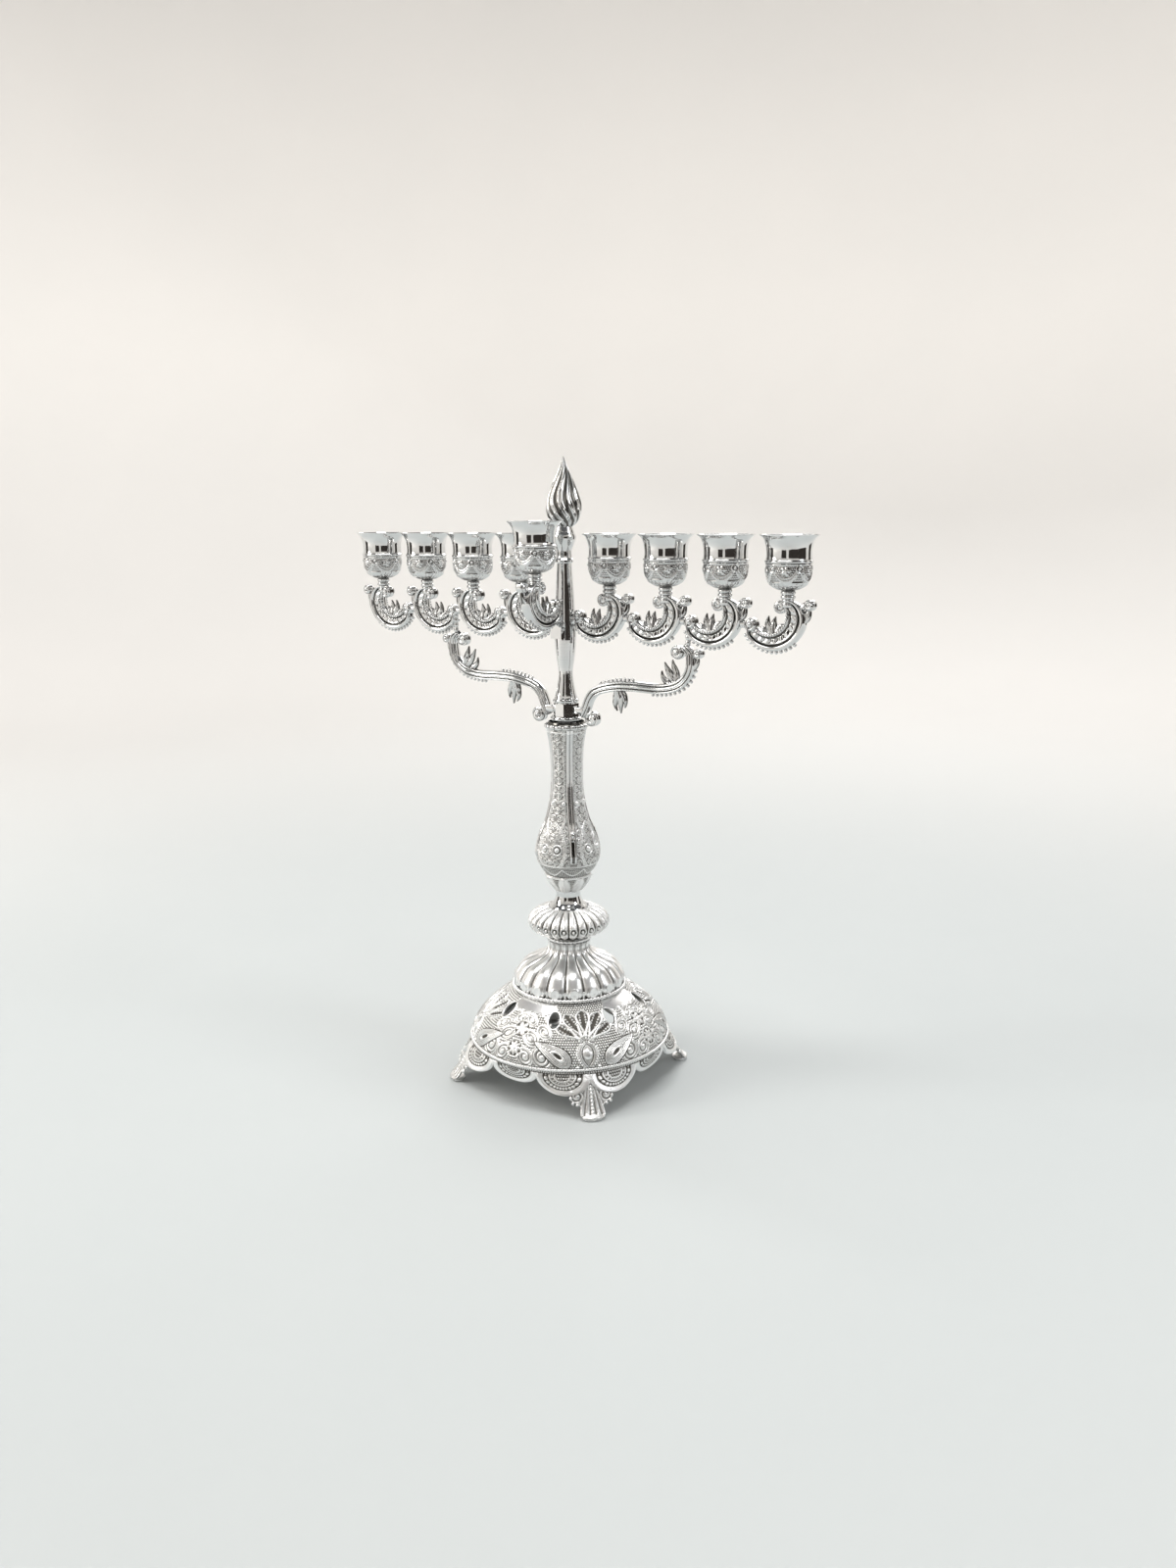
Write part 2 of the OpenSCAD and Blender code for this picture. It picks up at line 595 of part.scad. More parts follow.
s_ear_r = 3.3;
function s_way(i) =
    let(a = s_spine[max(i - 1, 0)], b = s_spine[min(i + 1, len(s_spine) - 1)]) (b - a) / norm(b - a);
function s_side(i, s) = s_spine[i] + s * s_width(i) / 2 * [-s_way(i)[1], s_way(i)[0]];
function s_width(i) = s_band * (0.86 + 0.14 * sin(180 * i / (len(s_spine) - 1)));
s_tang_h = 5;
module s_arm_outline() {
    n = len(s_spine) - 1;
    polygon(concat([for (i = [0 : n]) s_side(i, -1)], [for (i = [n : -1 : 0]) s_side(i, 1)]));
    translate(s_foot_curl_c) circle(r = s_foot_curl_r, $fn = 48);
    translate(s_top_curl_c) circle(r = s_top_curl_r, $fn = 48);
    translate(s_ear_c) circle(r = s_ear_r, $fn = 48);
    translate([hub_r + 0.1, s_base_z - s_tang_h / 2]) square([8, s_tang_h]);
    translate([s_top_x * 0.44, s_mid_z - 3.2])
        polygon([[-3.4, 1], [-3, -9], [1.4, -16.5], [5.4, -10.5], [3.6, 1]]);
    translate([s_top_x - 13.6, s_mid_z + 4])
        polygon([[3, 3], [-1.6, 12.5], [-7, 14.5], [-8.6, 9], [-3, 0]]);
}
s_screw_out = 7;
module s_arm() {
    difference() {
        rotate([90, 0, 0]) linear_extrude(height = arm_t, center = true) s_arm_outline();
        translate([hub_r - 1, 0, s_base_z]) rotate([0, 90, 0])
            cylinder(r = pin_hole_r, h = s_screw_out + 1.4, $fn = 32);
        s_link_pin(pin_gap);
    }
}
module s_arm_screws() {
    color(steel) for (s = [0, 1]) mirror([s, 0, 0])
        translate([hub_r - screw_in_hub + 0.4, 0, s_base_z]) rotate([0, 90, 0])
            cylinder(r = pin_r, h = screw_in_hub - 0.4 + s_screw_out, $fn = 32);
}
// The strut that carries the row on an S-arm: a round bar up into arm 3's tail
link_x = cup_x(3) + tail_curl_c[0] - 2;
link_low = s_end_z - 8;
link_in_arm = 1.7;
link_top = seat_z + tail_v - sqrt(pow(tail_curl_r, 2) - 4) + link_in_arm;
module s_link_pin(gap) {
    translate([link_x, 0, link_low - gap])
        cylinder(r = pin_r + gap, h = link_top - link_low + 2 * gap, $fn = 32);
}
module s_arm_links() {
    color(polished) for (s = [0, 1]) mirror([s, 0, 0]) s_link_pin(0);
}

// ---- cups ----
cup_waist_r = cup_bore_r + cup_wall;
bore_foot = cup_floor + 2.3;
cup_bowl_h = 17.2;
cup_h = bore_foot + cup_bore_l + 12.9;
cup_outer = concat(
    spline([[collar_r - 0.3, 0], [cup_waist_r * 0.56, 0.8], [cup_waist_r * 0.8, 3.2],
        [cup_waist_r * 0.955, 6.8], [cup_waist_r + 0.5, 11.2],
        [cup_waist_r + 0.7, cup_bowl_h - 1]], 5),
    [[cup_waist_r + 0.7, cup_bowl_h], [cup_waist_r + 1.15, cup_bowl_h + 0.4],
     [cup_waist_r + 1.15, cup_bowl_h + 1.2], [cup_waist_r + 0.4, cup_bowl_h + 1.8]],
    spline([[cup_waist_r + 0.05, cup_bowl_h + 3.4], [cup_waist_r + 0.1, cup_h - 10],
        [cup_waist_r + 0.65, cup_h - 6.4], [cup_waist_r + 2, cup_h - 3],
        [cup_waist_r + cup_flare, cup_h]], 5));
lip = 1;
cup_inner = concat(
    [[cup_waist_r + cup_flare - lip, cup_h]],
    spline([[cup_waist_r + 1.4, cup_h - 2.2], [cup_bore_r + 1, cup_h - 6.6],
        [cup_bore_r + 0.2, cup_h - 11], [cup_bore_r, bore_foot + cup_bore_l]], 4),
    [[cup_bore_r, bore_foot]],
    arc([cup_bore_r - 2.3, bore_foot], 2.3, 0, -90, 6), [[0, cup_floor]]);
stud_in_cup = 1.8;
module cup() {
    difference() {
        rotate_extrude() polygon(concat([[0, 0]], cup_outer, cup_inner));
        translate([0, 0, -1]) cylinder(r = stud_hole_r, h = stud_in_cup + 1.2, $fn = 32);
    }
}
module collar() {
    difference() {
        rotate_extrude() {
            square([collar_r - 1.2, collar_h]);
            translate([collar_r - 1.4, 1.4]) circle(r = 1.4, $fn = 24);
            translate([collar_r - 1.4, collar_h - 1.4]) circle(r = 1.4, $fn = 24);
        }
        translate([0, 0, -1]) cylinder(r = stud_hole_r, h = collar_h + 2, $fn = 32);
    }
}
module stud() translate([0, 0, -stud_in_arm])
    cylinder(r = stud_r, h = stud_in_arm + collar_h + stud_in_cup, $fn = 32);
module row_cup(i) translate([cup_x(i), 0, seat_z + collar_h]) cup();
module cup_collars() {
    color(polished) for (s = [0, 1], i = [1 : 4]) mirror([s, 0, 0])
        translate([cup_x(i), 0, seat_z]) collar();
}
module cup_studs() {
    color(steel) for (s = [0, 1], i = [1 : 4]) mirror([s, 0, 0])
        translate([cup_x(i), 0, seat_z]) stud();
}

// ---- servant branch ----
bracket_w = 9;
bracket_h = 11;
bracket_wall = 2;
tang_t = 2.6;
tang_w = bracket_w - 2 * bracket_wall - 2 * tang_gap;
bracket_seat = 5.4;
bracket_back = 1.2;
tang_y = bracket_seat + bracket_back + tang_gap + tang_t / 2;
bracket_front = tang_y + tang_t / 2 + tang_gap + bracket_wall;
bracket_z = servant_seat_z - 40.8;
bracket_top_z = bracket_z + bracket_h;
shoulder_low = 0.05;
shoulder_bar = 6;
module servant_bracket() {
    color(polished) difference() {
        translate([-bracket_w / 2, -bracket_front, bracket_z])
            cube([bracket_w, bracket_front - bracket_seat, bracket_h]);
        translate([-tang_w / 2 - tang_gap, -tang_y - tang_t / 2 - tang_gap,
            bracket_top_z - tang_depth - 0.5])
            cube([tang_w + 2 * tang_gap, tang_t + 2 * tang_gap, tang_depth + 1.5]);
    }
}
module servant_arm() {
    color(polished) difference() {
        union() {
            translate([0, -servant_reach, servant_seat_z]) rotate([0, 0, -90]) scroll_arm();
            translate([-arm_t / 2, -bracket_front, bracket_top_z + shoulder_low])
                cube([arm_t, bracket_front - inner_face - 0.3,
                    servant_seat_z + tail_v - bracket_top_z - shoulder_low]);
            translate([-arm_t / 2, -servant_reach - tail_curl_c[0],
                servant_seat_z + tail_v - shoulder_bar / 2])
                cube([arm_t, servant_reach + tail_curl_c[0] - inner_face - 0.3, shoulder_bar]);
            translate([-tang_w / 2, -tang_y - tang_t / 2, bracket_top_z - tang_depth])
                cube([tang_w, tang_t, tang_depth + 4]);
        }
        translate([-arm_t, -inner_face - 0.3, servant_seat_z - 2 * scroll_r])
            cube([2 * arm_t, 2 * arm_t, 3 * scroll_r]);
    }
}
module at_servant() translate([0, -servant_reach, servant_seat_z]) children();
module servant_cup() color(frosted) at_servant() translate([0, 0, collar_h]) cup();
module servant_collar() color(polished) at_servant() collar();
module servant_stud() color(steel) at_servant() stud();

// ---- named pieces that come in sets ----
module foot_front_right() color(frosted) foot_at(3);
module foot_rear_right() color(frosted) foot_at(0);
module foot_rear_left() color(frosted) foot_at(1);
module foot_front_left() color(frosted) foot_at(2);
module arm_right_1() color(polished) row_arm(1);
module arm_left_1() color(polished) mirror([1, 0, 0]) row_arm(1);
module arm_right_2() color(polished) row_arm(2);
module arm_left_2() color(polished) mirror([1, 0, 0]) row_arm(2);
module arm_right_3() color(polished) row_arm(3);
module arm_left_3() color(polished) mirror([1, 0, 0]) row_arm(3);
module arm_right_4() color(polished) row_arm(4);
module arm_left_4() color(polished) mirror([1, 0, 0]) row_arm(4);
module cup_right_1() color(frosted) row_cup(1);
module cup_left_1() color(frosted) mirror([1, 0, 0]) row_cup(1);
module cup_right_2() color(frosted) row_cup(2);
module cup_left_2() color(frosted) mirror([1, 0, 0]) row_cup(2);
module cup_right_3() color(frosted) row_cup(3);
module cup_left_3() color(frosted) mirror([1, 0, 0]) row_cup(3);
module cup_right_4() color(frosted) row_cup(4);
module cup_left_4() color(frosted) mirror([1, 0, 0]) row_cup(4);
module s_arm_right() color(polished) s_arm();
module s_arm_left() color(polished) mirror([1, 0, 0]) s_arm();

base_dome();
base_skirt();
base_rope_rim();
foot_front_right();
foot_rear_right();
foot_rear_left();
foot_front_left();
foot_rivets();
fluted_cap();
cap_bead_rim();
neck_bead_ring();
gadroon_knop();
polished_spool();
leaf_cup();
baluster();
baluster_flange();
hub_lower_ring();
arm_hub();
hub_upper_ring();
stem();
stem_flange();
finial_socket();
flame_finial();
finial_stud();
tie_rod();
tie_nut();
tie_washer();
arm_right_1();
arm_right_2();
arm_right_3();
arm_right_4();
arm_left_1();
arm_left_2();
arm_left_3();
arm_left_4();
s_arm_right();
s_arm_left();
s_arm_screws();
s_arm_links();
stem_cross_pin();
arm_pins();
cup_right_1();
cup_right_2();
cup_right_3();
cup_right_4();
cup_left_1();
cup_left_2();
cup_left_3();
cup_left_4();
cup_collars();
cup_studs();
servant_bracket();
servant_arm();
servant_cup();
servant_collar();
servant_stud();
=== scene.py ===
import math

import bpy
import numpy as np
from mathutils import Matrix, Vector


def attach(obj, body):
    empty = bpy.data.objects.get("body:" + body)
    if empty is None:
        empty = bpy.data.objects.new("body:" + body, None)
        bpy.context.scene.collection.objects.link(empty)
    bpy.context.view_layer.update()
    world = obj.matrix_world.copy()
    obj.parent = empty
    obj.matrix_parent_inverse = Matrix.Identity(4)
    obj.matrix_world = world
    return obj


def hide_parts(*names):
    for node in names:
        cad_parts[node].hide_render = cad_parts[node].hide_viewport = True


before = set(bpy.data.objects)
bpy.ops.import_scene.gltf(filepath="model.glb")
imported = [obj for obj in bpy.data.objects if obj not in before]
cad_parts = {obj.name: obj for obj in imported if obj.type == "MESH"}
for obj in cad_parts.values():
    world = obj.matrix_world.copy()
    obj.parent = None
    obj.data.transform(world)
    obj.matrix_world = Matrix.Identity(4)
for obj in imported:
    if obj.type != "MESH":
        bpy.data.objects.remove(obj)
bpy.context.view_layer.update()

MM = 0.001
TURN = 2 * math.pi
RNG = np.random.default_rng(11)


# ---------------------------------------------------------------- finishes

class Value:
    """A number or colour that changes over a surface. Arithmetic on it adds Math nodes."""

    def __init__(self, finish, socket):
        self.finish, self.socket = finish, socket

    def math(self, operation, *terms):
        return self.finish.node("ShaderNodeMath", {"operation": operation}, dict(enumerate(terms)))

    def __add__(self, other):
        return self.math("ADD", self, other)

    def __sub__(self, other):
        return self.math("SUBTRACT", self, other)

    def __rsub__(self, other):
        return self.math("SUBTRACT", other, self)

    def __mul__(self, other):
        return self.math("MULTIPLY", self, other)

    def __truediv__(self, other):
        return self.math("DIVIDE", self, other)

    def __pow__(self, other):
        return self.math("POWER", self, other)

    __radd__ = __add__
    __rmul__ = __mul__

    def between(self, low, high):
        """0 below low, 1 above high, smooth between."""
        settings = {"interpolation_type": "SMOOTHSTEP"}
        return self.finish.node("ShaderNodeMapRange", settings, {0: self, 1: low, 2: high})


class Finish:
    """A material, built node by node."""

    def __init__(self, name):
        self.material = bpy.data.materials.new(name)
        self.material.use_nodes = True
        self.tree = self.material.node_tree
        self.tree.nodes.clear()

    def node(self, kind, settings, sockets, out=0):
        """Adds a node: its settings first, then its sockets' values or links."""
        made = self.tree.nodes.new(kind)
        for key, value in settings.items():
            setattr(made, key, value)
        for key, value in sockets.items():
            if isinstance(value, Value):
                self.tree.links.new(value.socket, made.inputs[key])
            else:
                made.inputs[key].default_value = value
        return Value(self, made.outputs[out])

    def mix(self, share, first, second):
        """A colour between two colours."""
        return self.node("ShaderNodeMix", {"data_type": "RGBA"}, {0: share, 6: first, 7: second}, out=2)

    def place(self):
        """Where a point is on the piece, in metres."""
        return self.node("ShaderNodeTexCoord", {}, {}, out=3)

    def noise(self, scale, detail=3.0, rough=0.5):
        """Soft cloudy variation."""
        sockets = {"Vector": self.place(), "Scale": scale, "Detail": detail, "Roughness": rough}
        return self.node("ShaderNodeTexNoise", {}, sockets)

    def grains(self, scale):
        """Distance from the middle of small scattered cells."""
        return self.node("ShaderNodeTexVoronoi", {}, {"Vector": self.place(), "Scale": scale})

    def relief(self):
        """How far a point of chased work stands up: 0 in the ground, 1 on the crests. The finishes paint shade
        where it is low.
        """
        return self.node("ShaderNodeAttribute", {"attribute_name": "relief"}, {}, out=2)

    def bump(self, height, strength, distance):
        sockets = {"Height": height, "Strength": strength, "Distance": distance}
        return self.node("ShaderNodeBump", {}, sockets)

    def metal(self, color, roughness, normal):
        """Closes the material as bare metal."""
        sockets = {"Base Color": color, "Metallic": 1.0, "Roughness": roughness, "Normal": normal}
        shader = self.node("ShaderNodeBsdfPrincipled", {}, sockets)
        self.node_output(shader)
        return self.material

    def node_output(self, shader):
        made = self.tree.nodes.new("ShaderNodeOutputMaterial")
        self.tree.links.new(shader.socket, made.inputs["Surface"])


SILVER = (0.74, 0.745, 0.745, 1)
# painted shade laid into the grooves of chased silver
PAINTED_GROOVE_SHADE = (0.15, 0.145, 0.135, 1)
# painted shade for the low ground of frosted filigree and its punch pits
PAINTED_GROUND_SHADE = (0.09, 0.085, 0.075, 1)
FROST = (0.95, 0.95, 0.945, 1)


def mirror_plate(name, chased, silver=SILVER, haze=0.045):
    """Bright polished silver plate, with cloudy handling marks and hairlines. Chased
    pieces get painted shade in their grooves, where the relief attribute is low."""
    f = Finish(name)
    cloud = f.noise(38.0, 4.0, 0.6)
    hairline = f.noise(900.0, 2.0, 0.7)
    color = f.mix(cloud.between(0.35, 0.75) * 0.3, silver, (0.58, 0.585, 0.59, 1))
    roughness = haze + 0.06 * cloud.between(0.45, 0.8) + 0.03 * hairline.between(0.5, 0.75)
    if chased:
        # painted shade: low relief darkens and dulls the grooves as if they lay in shadow
        deep = 1 - f.relief().between(0.08, 0.42)
        color = f.mix(deep, color, PAINTED_GROOVE_SHADE)
        roughness = roughness + 0.12 * deep
    wavy = f.noise(120.0, 2.0, 0.5)
    normal = f.bump(wavy * 0.7 + hairline * 0.08, 0.16, 0.0006)
    return f.metal(color, roughness, normal)


def frosted_plate(name):
    """Cast filigree in frosted silver: a matted, punched ground painted with grey to
    black shade, darkest in the hollows and punch pits, and crests rubbed bright."""
    f = Finish(name)
    relief = f.relief()
    stipple = f.grains(950.0)
    cloud = f.noise(60.0, 4.0, 0.6)
    ground = relief.between(0.09, 0.34)
    crest = relief.between(0.30, 0.70)
    speck = stipple.between(0.15, 0.75)
    # painted shade: low relief is painted grey, and the deepest hollows near black
    base = f.mix(ground, PAINTED_GROUND_SHADE, (0.70, 0.695, 0.68, 1))
    base = f.mix(crest, base, FROST)
    # painted shade in the punch pits of the ground
    base = f.mix(speck * 0.22 * (1 - crest), base, PAINTED_GROUND_SHADE)
    base = f.mix(cloud.between(0.5, 0.8) * 0.12, base, (0.90, 0.87, 0.81, 1))
    roughness = 0.50 - 0.16 * crest + 0.06 * (cloud - 0.5)
    height = (1 - speck) * (1 - 0.75 * crest) + 0.25 * f.noise(1700.0, 2.0, 0.6)
    normal = f.bump(height, 0.5, 0.0003)
    return f.metal(base, roughness, normal)


def plain_steel(name):
    """Turned bright steel of the hidden fastenings, with faint lathe lines."""
    f = Finish(name)
    settings = {"wave_type": "BANDS", "bands_direction": "Z"}
    sockets = {"Vector": f.place(), "Scale": 700.0, "Distortion": 1.5}
    lines = f.node("ShaderNodeTexWave", settings, sockets, out=1)
    cloud = f.noise(150.0)
    color = f.mix(cloud, (0.48, 0.48, 0.50, 1), (0.64, 0.64, 0.66, 1))
    return f.metal(color, 0.26 + 0.12 * cloud, f.bump(lines, 0.2, 0.0002))


MIRROR = mirror_plate("mirror_plate", False)
CHASED = mirror_plate("chased_mirror_plate", True)
BURNISHED = mirror_plate("burnished_plate", True, FROST, 0.3)
FROSTED = frosted_plate("frosted_filigree")
STEEL = plain_steel("turned_steel")


# ---------------------------------------------------------------- shaping tools

def spline(points, steps):
    """A smooth line through the points, the way a bent spline would run."""
    p = np.array(points, float)
    last = len(p) - 1
    out = []
    for i in range(last):
        a, b, c, d = p[max(i - 1, 0)], p[i], p[i + 1], p[min(i + 2, last)]
        for t in np.arange(steps) / steps:
            out.append(0.5 * (2 * b + (c - a) * t + (2 * a - 5 * b + 4 * c - d) * t * t
                              + (3 * b - a - 3 * c + d) * t ** 3))
    return np.array(out + [p[last]])


def run_along(line):
    """Length along a line, point by point."""
    return np.concatenate([[0], np.cumsum(np.linalg.norm(np.diff(line, axis=0), axis=1))])


def respace(line, step):
    """The same line with points about a step apart."""
    run = run_along(line)
    count = max(2, int(round(run[-1] / step)) + 1)
    at = np.linspace(0, run[-1], count)
    return np.stack([np.interp(at, run, line[:, k]) for k in range(line.shape[1])], 1)


def smooth(x, low, high):
    t = np.clip((x - low) / (high - low), 0, 1)
    return t * t * (3 - 2 * t)


def unit(v):
    return v / np.maximum(np.linalg.norm(v, axis=-1, keepdims=True), 1e-12)


class Shape:
    """Surfaces gathered into one mesh, in millimetres, with a relief value at each point."""

    def __init__(self):
        self.points, self.faces, self.paints, self.reliefs = [], [], [], []
        self.count = 0

    def add(self, points, faces, relief=1.0, paint=0):
        points = np.asarray(points, float).reshape(-1, 3)
        self.points.append(points)
        self.reliefs.append(np.broadcast_to(np.asarray(relief, float).ravel(), (len(points),)).copy())
        self.faces.append(faces + self.count)
        self.paints.append(np.broadcast_to(np.asarray(paint), (len(faces),)).copy())
        self.count += len(points)

    def grid(self, points, around=False, along=False, relief=1.0, paint=0, keep=None, flip=False):
        """A sheet of four-sided faces; around joins the last column to the first."""
        rows, cols = points.shape[:2]
        index = np.arange(rows * cols).reshape(rows, cols)
        if around:
            index = np.concatenate([index, index[:, :1]], 1)
        if along:
            index = np.concatenate([index, index[:1]], 0)
        faces = np.stack([index[:-1, :-1], index[:-1, 1:], index[1:, 1:], index[1:, :-1]], -1)
        tall, wide = faces.shape[:2]
        chosen = np.ones((tall, wide), bool) if keep is None else keep[:tall, :wide]
        colors = np.broadcast_to(paint, (tall, wide)) if np.ndim(paint) == 0 else paint[:tall, :wide]
        faces = faces[chosen]
        if flip:
            faces = faces[:, ::-1]
        level = np.broadcast_to(np.asarray(relief, float), points.shape[:2])
        self.add(points, faces, level, colors[chosen])

    def beads(self, centres, radius):
        """Small balls."""
        centres = np.asarray(centres, float).reshape(-1, 3)
        lat = np.linspace(-math.pi / 2, math.pi / 2, 7)
        lon = np.arange(10) / 10 * TURN
        ball = np.stack([np.outer(np.cos(lat), np.cos(lon)), np.outer(np.cos(lat), np.sin(lon)),
                         np.outer(np.sin(lat), np.ones(10))], -1)
        for centre in centres:
            self.grid(centre + radius * ball, around=True)

    def mesh(self, name, paints):
        made = bpy.data.meshes.new(name)
        points = np.concatenate(self.points) * MM
        made.vertices.add(len(points))
        made.vertices.foreach_set("co", points.astype(np.float32).ravel())
        corners = np.concatenate([f.ravel() for f in self.faces]).astype(np.int32)
        sizes = np.concatenate([np.full(len(f), f.shape[1]) for f in self.faces])
        made.loops.add(len(corners))
        made.loops.foreach_set("vertex_index", corners)
        made.polygons.add(len(sizes))
        made.polygons.foreach_set("loop_start", np.concatenate([[0], np.cumsum(sizes)[:-1]]).astype(np.int32))
        made.polygons.foreach_set("material_index", np.concatenate(self.paints).astype(np.int32))
        made.polygons.foreach_set("use_smooth", np.ones(len(sizes), bool))
        level = made.attributes.new("relief", "FLOAT", "POINT")
        level.data.foreach_set("value", np.clip(np.concatenate(self.reliefs), 0, 1).astype(np.float32))
        made.update(calc_edges=True)
        made.validate()
        for paint in paints:
            made.materials.append(paint)
        return made

    def moved(self, change):
        """A copy with each point passed through a function; a mirror image turns its faces."""
        other = Shape()
        other.points = [change(p) for p in self.points]
        turned_over = np.linalg.det(np.stack([change(np.eye(3)[k][None])[0] - change(np.zeros((1, 3)))[0]
                                              for k in range(3)])) < 0
        other.faces = [f[:, ::-1] if turned_over else f for f in self.faces]
        other.paints, other.reliefs, other.count = list(self.paints), list(self.reliefs), self.count
        return other


def turned(shape, line, around, relief=None, paint=0, step=0.8, keep=None, level=None):
    """A turned skin from its profile of radius and height, drawn upwards, with chasing
    that stands out from it."""
    line = respace(np.array(line, float), step)
    way = unit(np.gradient(line, axis=0))
    run = run_along(line)
    angle = np.arange(around) / around * TURN
    a, s = np.meshgrid(angle, run)
    r, z = line[:, :1] + 0 * a, line[:, 1:] + 0 * a
    rise = relief(a, s, r, z) if relief else 0 * a
    # share is stored as the relief attribute; the finishes paint shade where it is low
    share = np.clip((rise + 0.1) / 1.3, 0, 1) if relief else 1.0 + 0 * a
    if level is not None:
        share = level(a, s, r, z, share)
    rr, zz = r + rise * way[:, 1:], z - rise * way[:, :1]
    points = np.stack([rr * np.cos(a), rr * np.sin(a), zz], -1)
    open_here = keep(a, s, r, z) if keep else None
    coat = paint(a, s, r, z) if callable(paint) else paint
    shape.grid(points, around=True, relief=share, paint=coat, keep=open_here)


def finish_piece(name, mesh, body, nodes, place=None):
    """Makes the piece, stands it in for its CAD nodes and lets it ride on its body."""
    piece = bpy.data.objects.new(name, mesh)
    bpy.context.scene.collection.objects.link(piece)
    if place is not None:
        piece.matrix_world = place
    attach(piece, body)
    if nodes:
        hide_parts(*nodes)
    return piece


# ---------------------------------------------------------------- chasing patterns

def ridge(distance, width, height):
    return height * np.exp(-(distance / width) ** 2)


def dome(distance, radius, height):
    return height * np.sqrt(np.clip(1 - (distance / radius) ** 2, 0, 1))


def turn_to(u, v, cu, cv, degrees):
    """Coordinates along and across a motif set at (cu, cv) and pointing that way from up."""
    a = math.radians(degrees)
    du, dv = u - cu, v - cv
    return du * math.sin(a) + dv * math.cos(a), du * math.cos(a) - dv * math.sin(a)


def inside_drop(along, across, length, half, fat=0.62):
    """How far inside a drop-shaped outline a point is; the drop is fattest at fat."""
    t = np.clip(along / length, 0, 1)
    width = half * np.sin(math.pi * t ** (math.log(0.5) / math.log(fat))) ** 0.75
    over = np.maximum(-along, along - length)
    return np.where((along > 0) & (along < length), width - np.abs(across), -np.abs(over) - np.abs(across))


def wired_drop(along, across, length, half, fat=0.62, wires=3, pitch=1.25, height=1.0):
    """A drop outlined by rows of beaded wire, one inside the other."""
    depth = inside_drop(along, across, length, half, fat)
    h = 0 * along
    for k in range(wires):
        h = np.maximum(h, ridge(depth - 0.6 - k * pitch, 0.42, height * (1 - 0.12 * k)))
    return h, depth


def dotted(along, across, pitch, radius, height):
    """A row of round beads."""
    step = (along / pitch) % 1 - 0.5
    return dome(np.hypot(step * pitch, across), radius, height)


def spiral(u, v, cu, cv, radius, turns, hand):
    """A coiled wire that fills a circle, with a boss at its eye."""
    du, dv = (u - cu) * hand, v - cv
    rho, theta = np.hypot(du, dv), np.arctan2(dv, du)
    pitch = radius / turns
    step = (rho / pitch - theta / TURN) % 1
    d = np.minimum(step, 1 - step) * pitch
    h = np.where(rho < radius, ridge(d, 0.2 * pitch + 0.25, 0.9), 0)
    return np.maximum(h, dome(rho, 0.26 * radius, 1.3)), rho


def flower(u, v, cu, cv, radius, petals):
    du, dv = u - cu, v - cv
    rho, theta = np.hypot(du, dv), np.arctan2(dv, du)
    edge = radius * (0.62 + 0.38 * np.abs(np.cos(petals * theta / 2)))
    h = np.where(rho < edge, 0.35 + 0.55 * np.sin(math.pi * np.clip(rho / edge, 0, 1)), 0)
    h = h * (0.55 + 0.45 * np.abs(np.cos(petals * theta / 2)))
    return np.maximum(h, dome(rho, 0.28 * radius, 1.2))


def pebbled(u, v, pitch, height):
    """A close punched ground."""
    row = np.floor(v / pitch)
    du = ((u / pitch + 0.5 * (row % 2)) % 1 - 0.5) * pitch
    dv = ((v / pitch) % 1 - 0.5) * pitch
    return dome(np.hypot(du, dv), 0.46 * pitch, height)


def coiled(u, v, pitch, height):
    """A ground of small C-scrolls of wire, set in rows and turned by turns."""
    row = np.floor(v / pitch)
    column = np.floor(u / pitch + 0.5 * (row % 2))
    du = (u / pitch + 0.5 * (row % 2) - column - 0.5) * pitch
    dv = (v / pitch - row - 0.5) * pitch
    hand = 1 - 2 * ((row + column) % 2)
    rho, theta = np.hypot(du, dv), np.arctan2(dv * hand, du)
    ring = ridge(rho - 0.40 * pitch, 0.36, height) * (theta > -2.4)
    curl = ridge(rho - 0.17 * pitch, 0.32, height) * (theta < 1.8)
    return np.maximum(np.maximum(ring, curl), 0.17)


def rod(shape, line, radius, normal=(0, 0, 1), sides=12, closed=False, paint=0):
    """A round rod along a line; the radius may change from point to point."""
    line = np.array(line, float)
    way = np.gradient(line, axis=0)
    if closed:
        way = np.roll(line, -1, 0) - np.roll(line, 1, 0)
    way = unit(way)
    side = unit(np.cross(way, np.array(normal, float)))
    over = np.cross(side, way)
    turn = np.arange(sides) / sides * TURN
    radius = np.broadcast_to(np.asarray(radius, float), (len(line),))[:, None, None]
    ring = np.cos(turn)[None, :, None] * side[:, None] + np.sin(turn)[None, :, None] * over[:, None]
    shape.grid(line[:, None] + radius * ring, around=True, along=closed, paint=paint)


def circle(radius, z, angle):
    """Points round the axis at one radius and one level."""
    return np.stack([radius * np.cos(angle), radius * np.sin(angle), z + 0 * angle], -1)


def rings(levels, count):
    """Rows of points round the axis, one for each radius and level."""
    return np.array([[(r * math.cos(t), r * math.sin(t), z) for t in np.arange(count) / count * TURN]
                     for r, z in levels])


def corner_turn(a):
    """How far an angle is from the nearest corner line of the square plan."""
    return np.mod(a, TURN / 4) - TURN / 8


def across_lobe(a, r, count):
    """Place across one of the equal lobes round a turned piece, from -1 to 1, and the
    lobe's half width."""
    return (np.mod(a * count / TURN, 1) - 0.5) * 2, math.pi * r / count


def ring_of_beads(shape, radius, z, bead, count):
    angle = (np.arange(count) + 0.5) / count * TURN
    shape.beads(circle(radius, z, angle), bead)


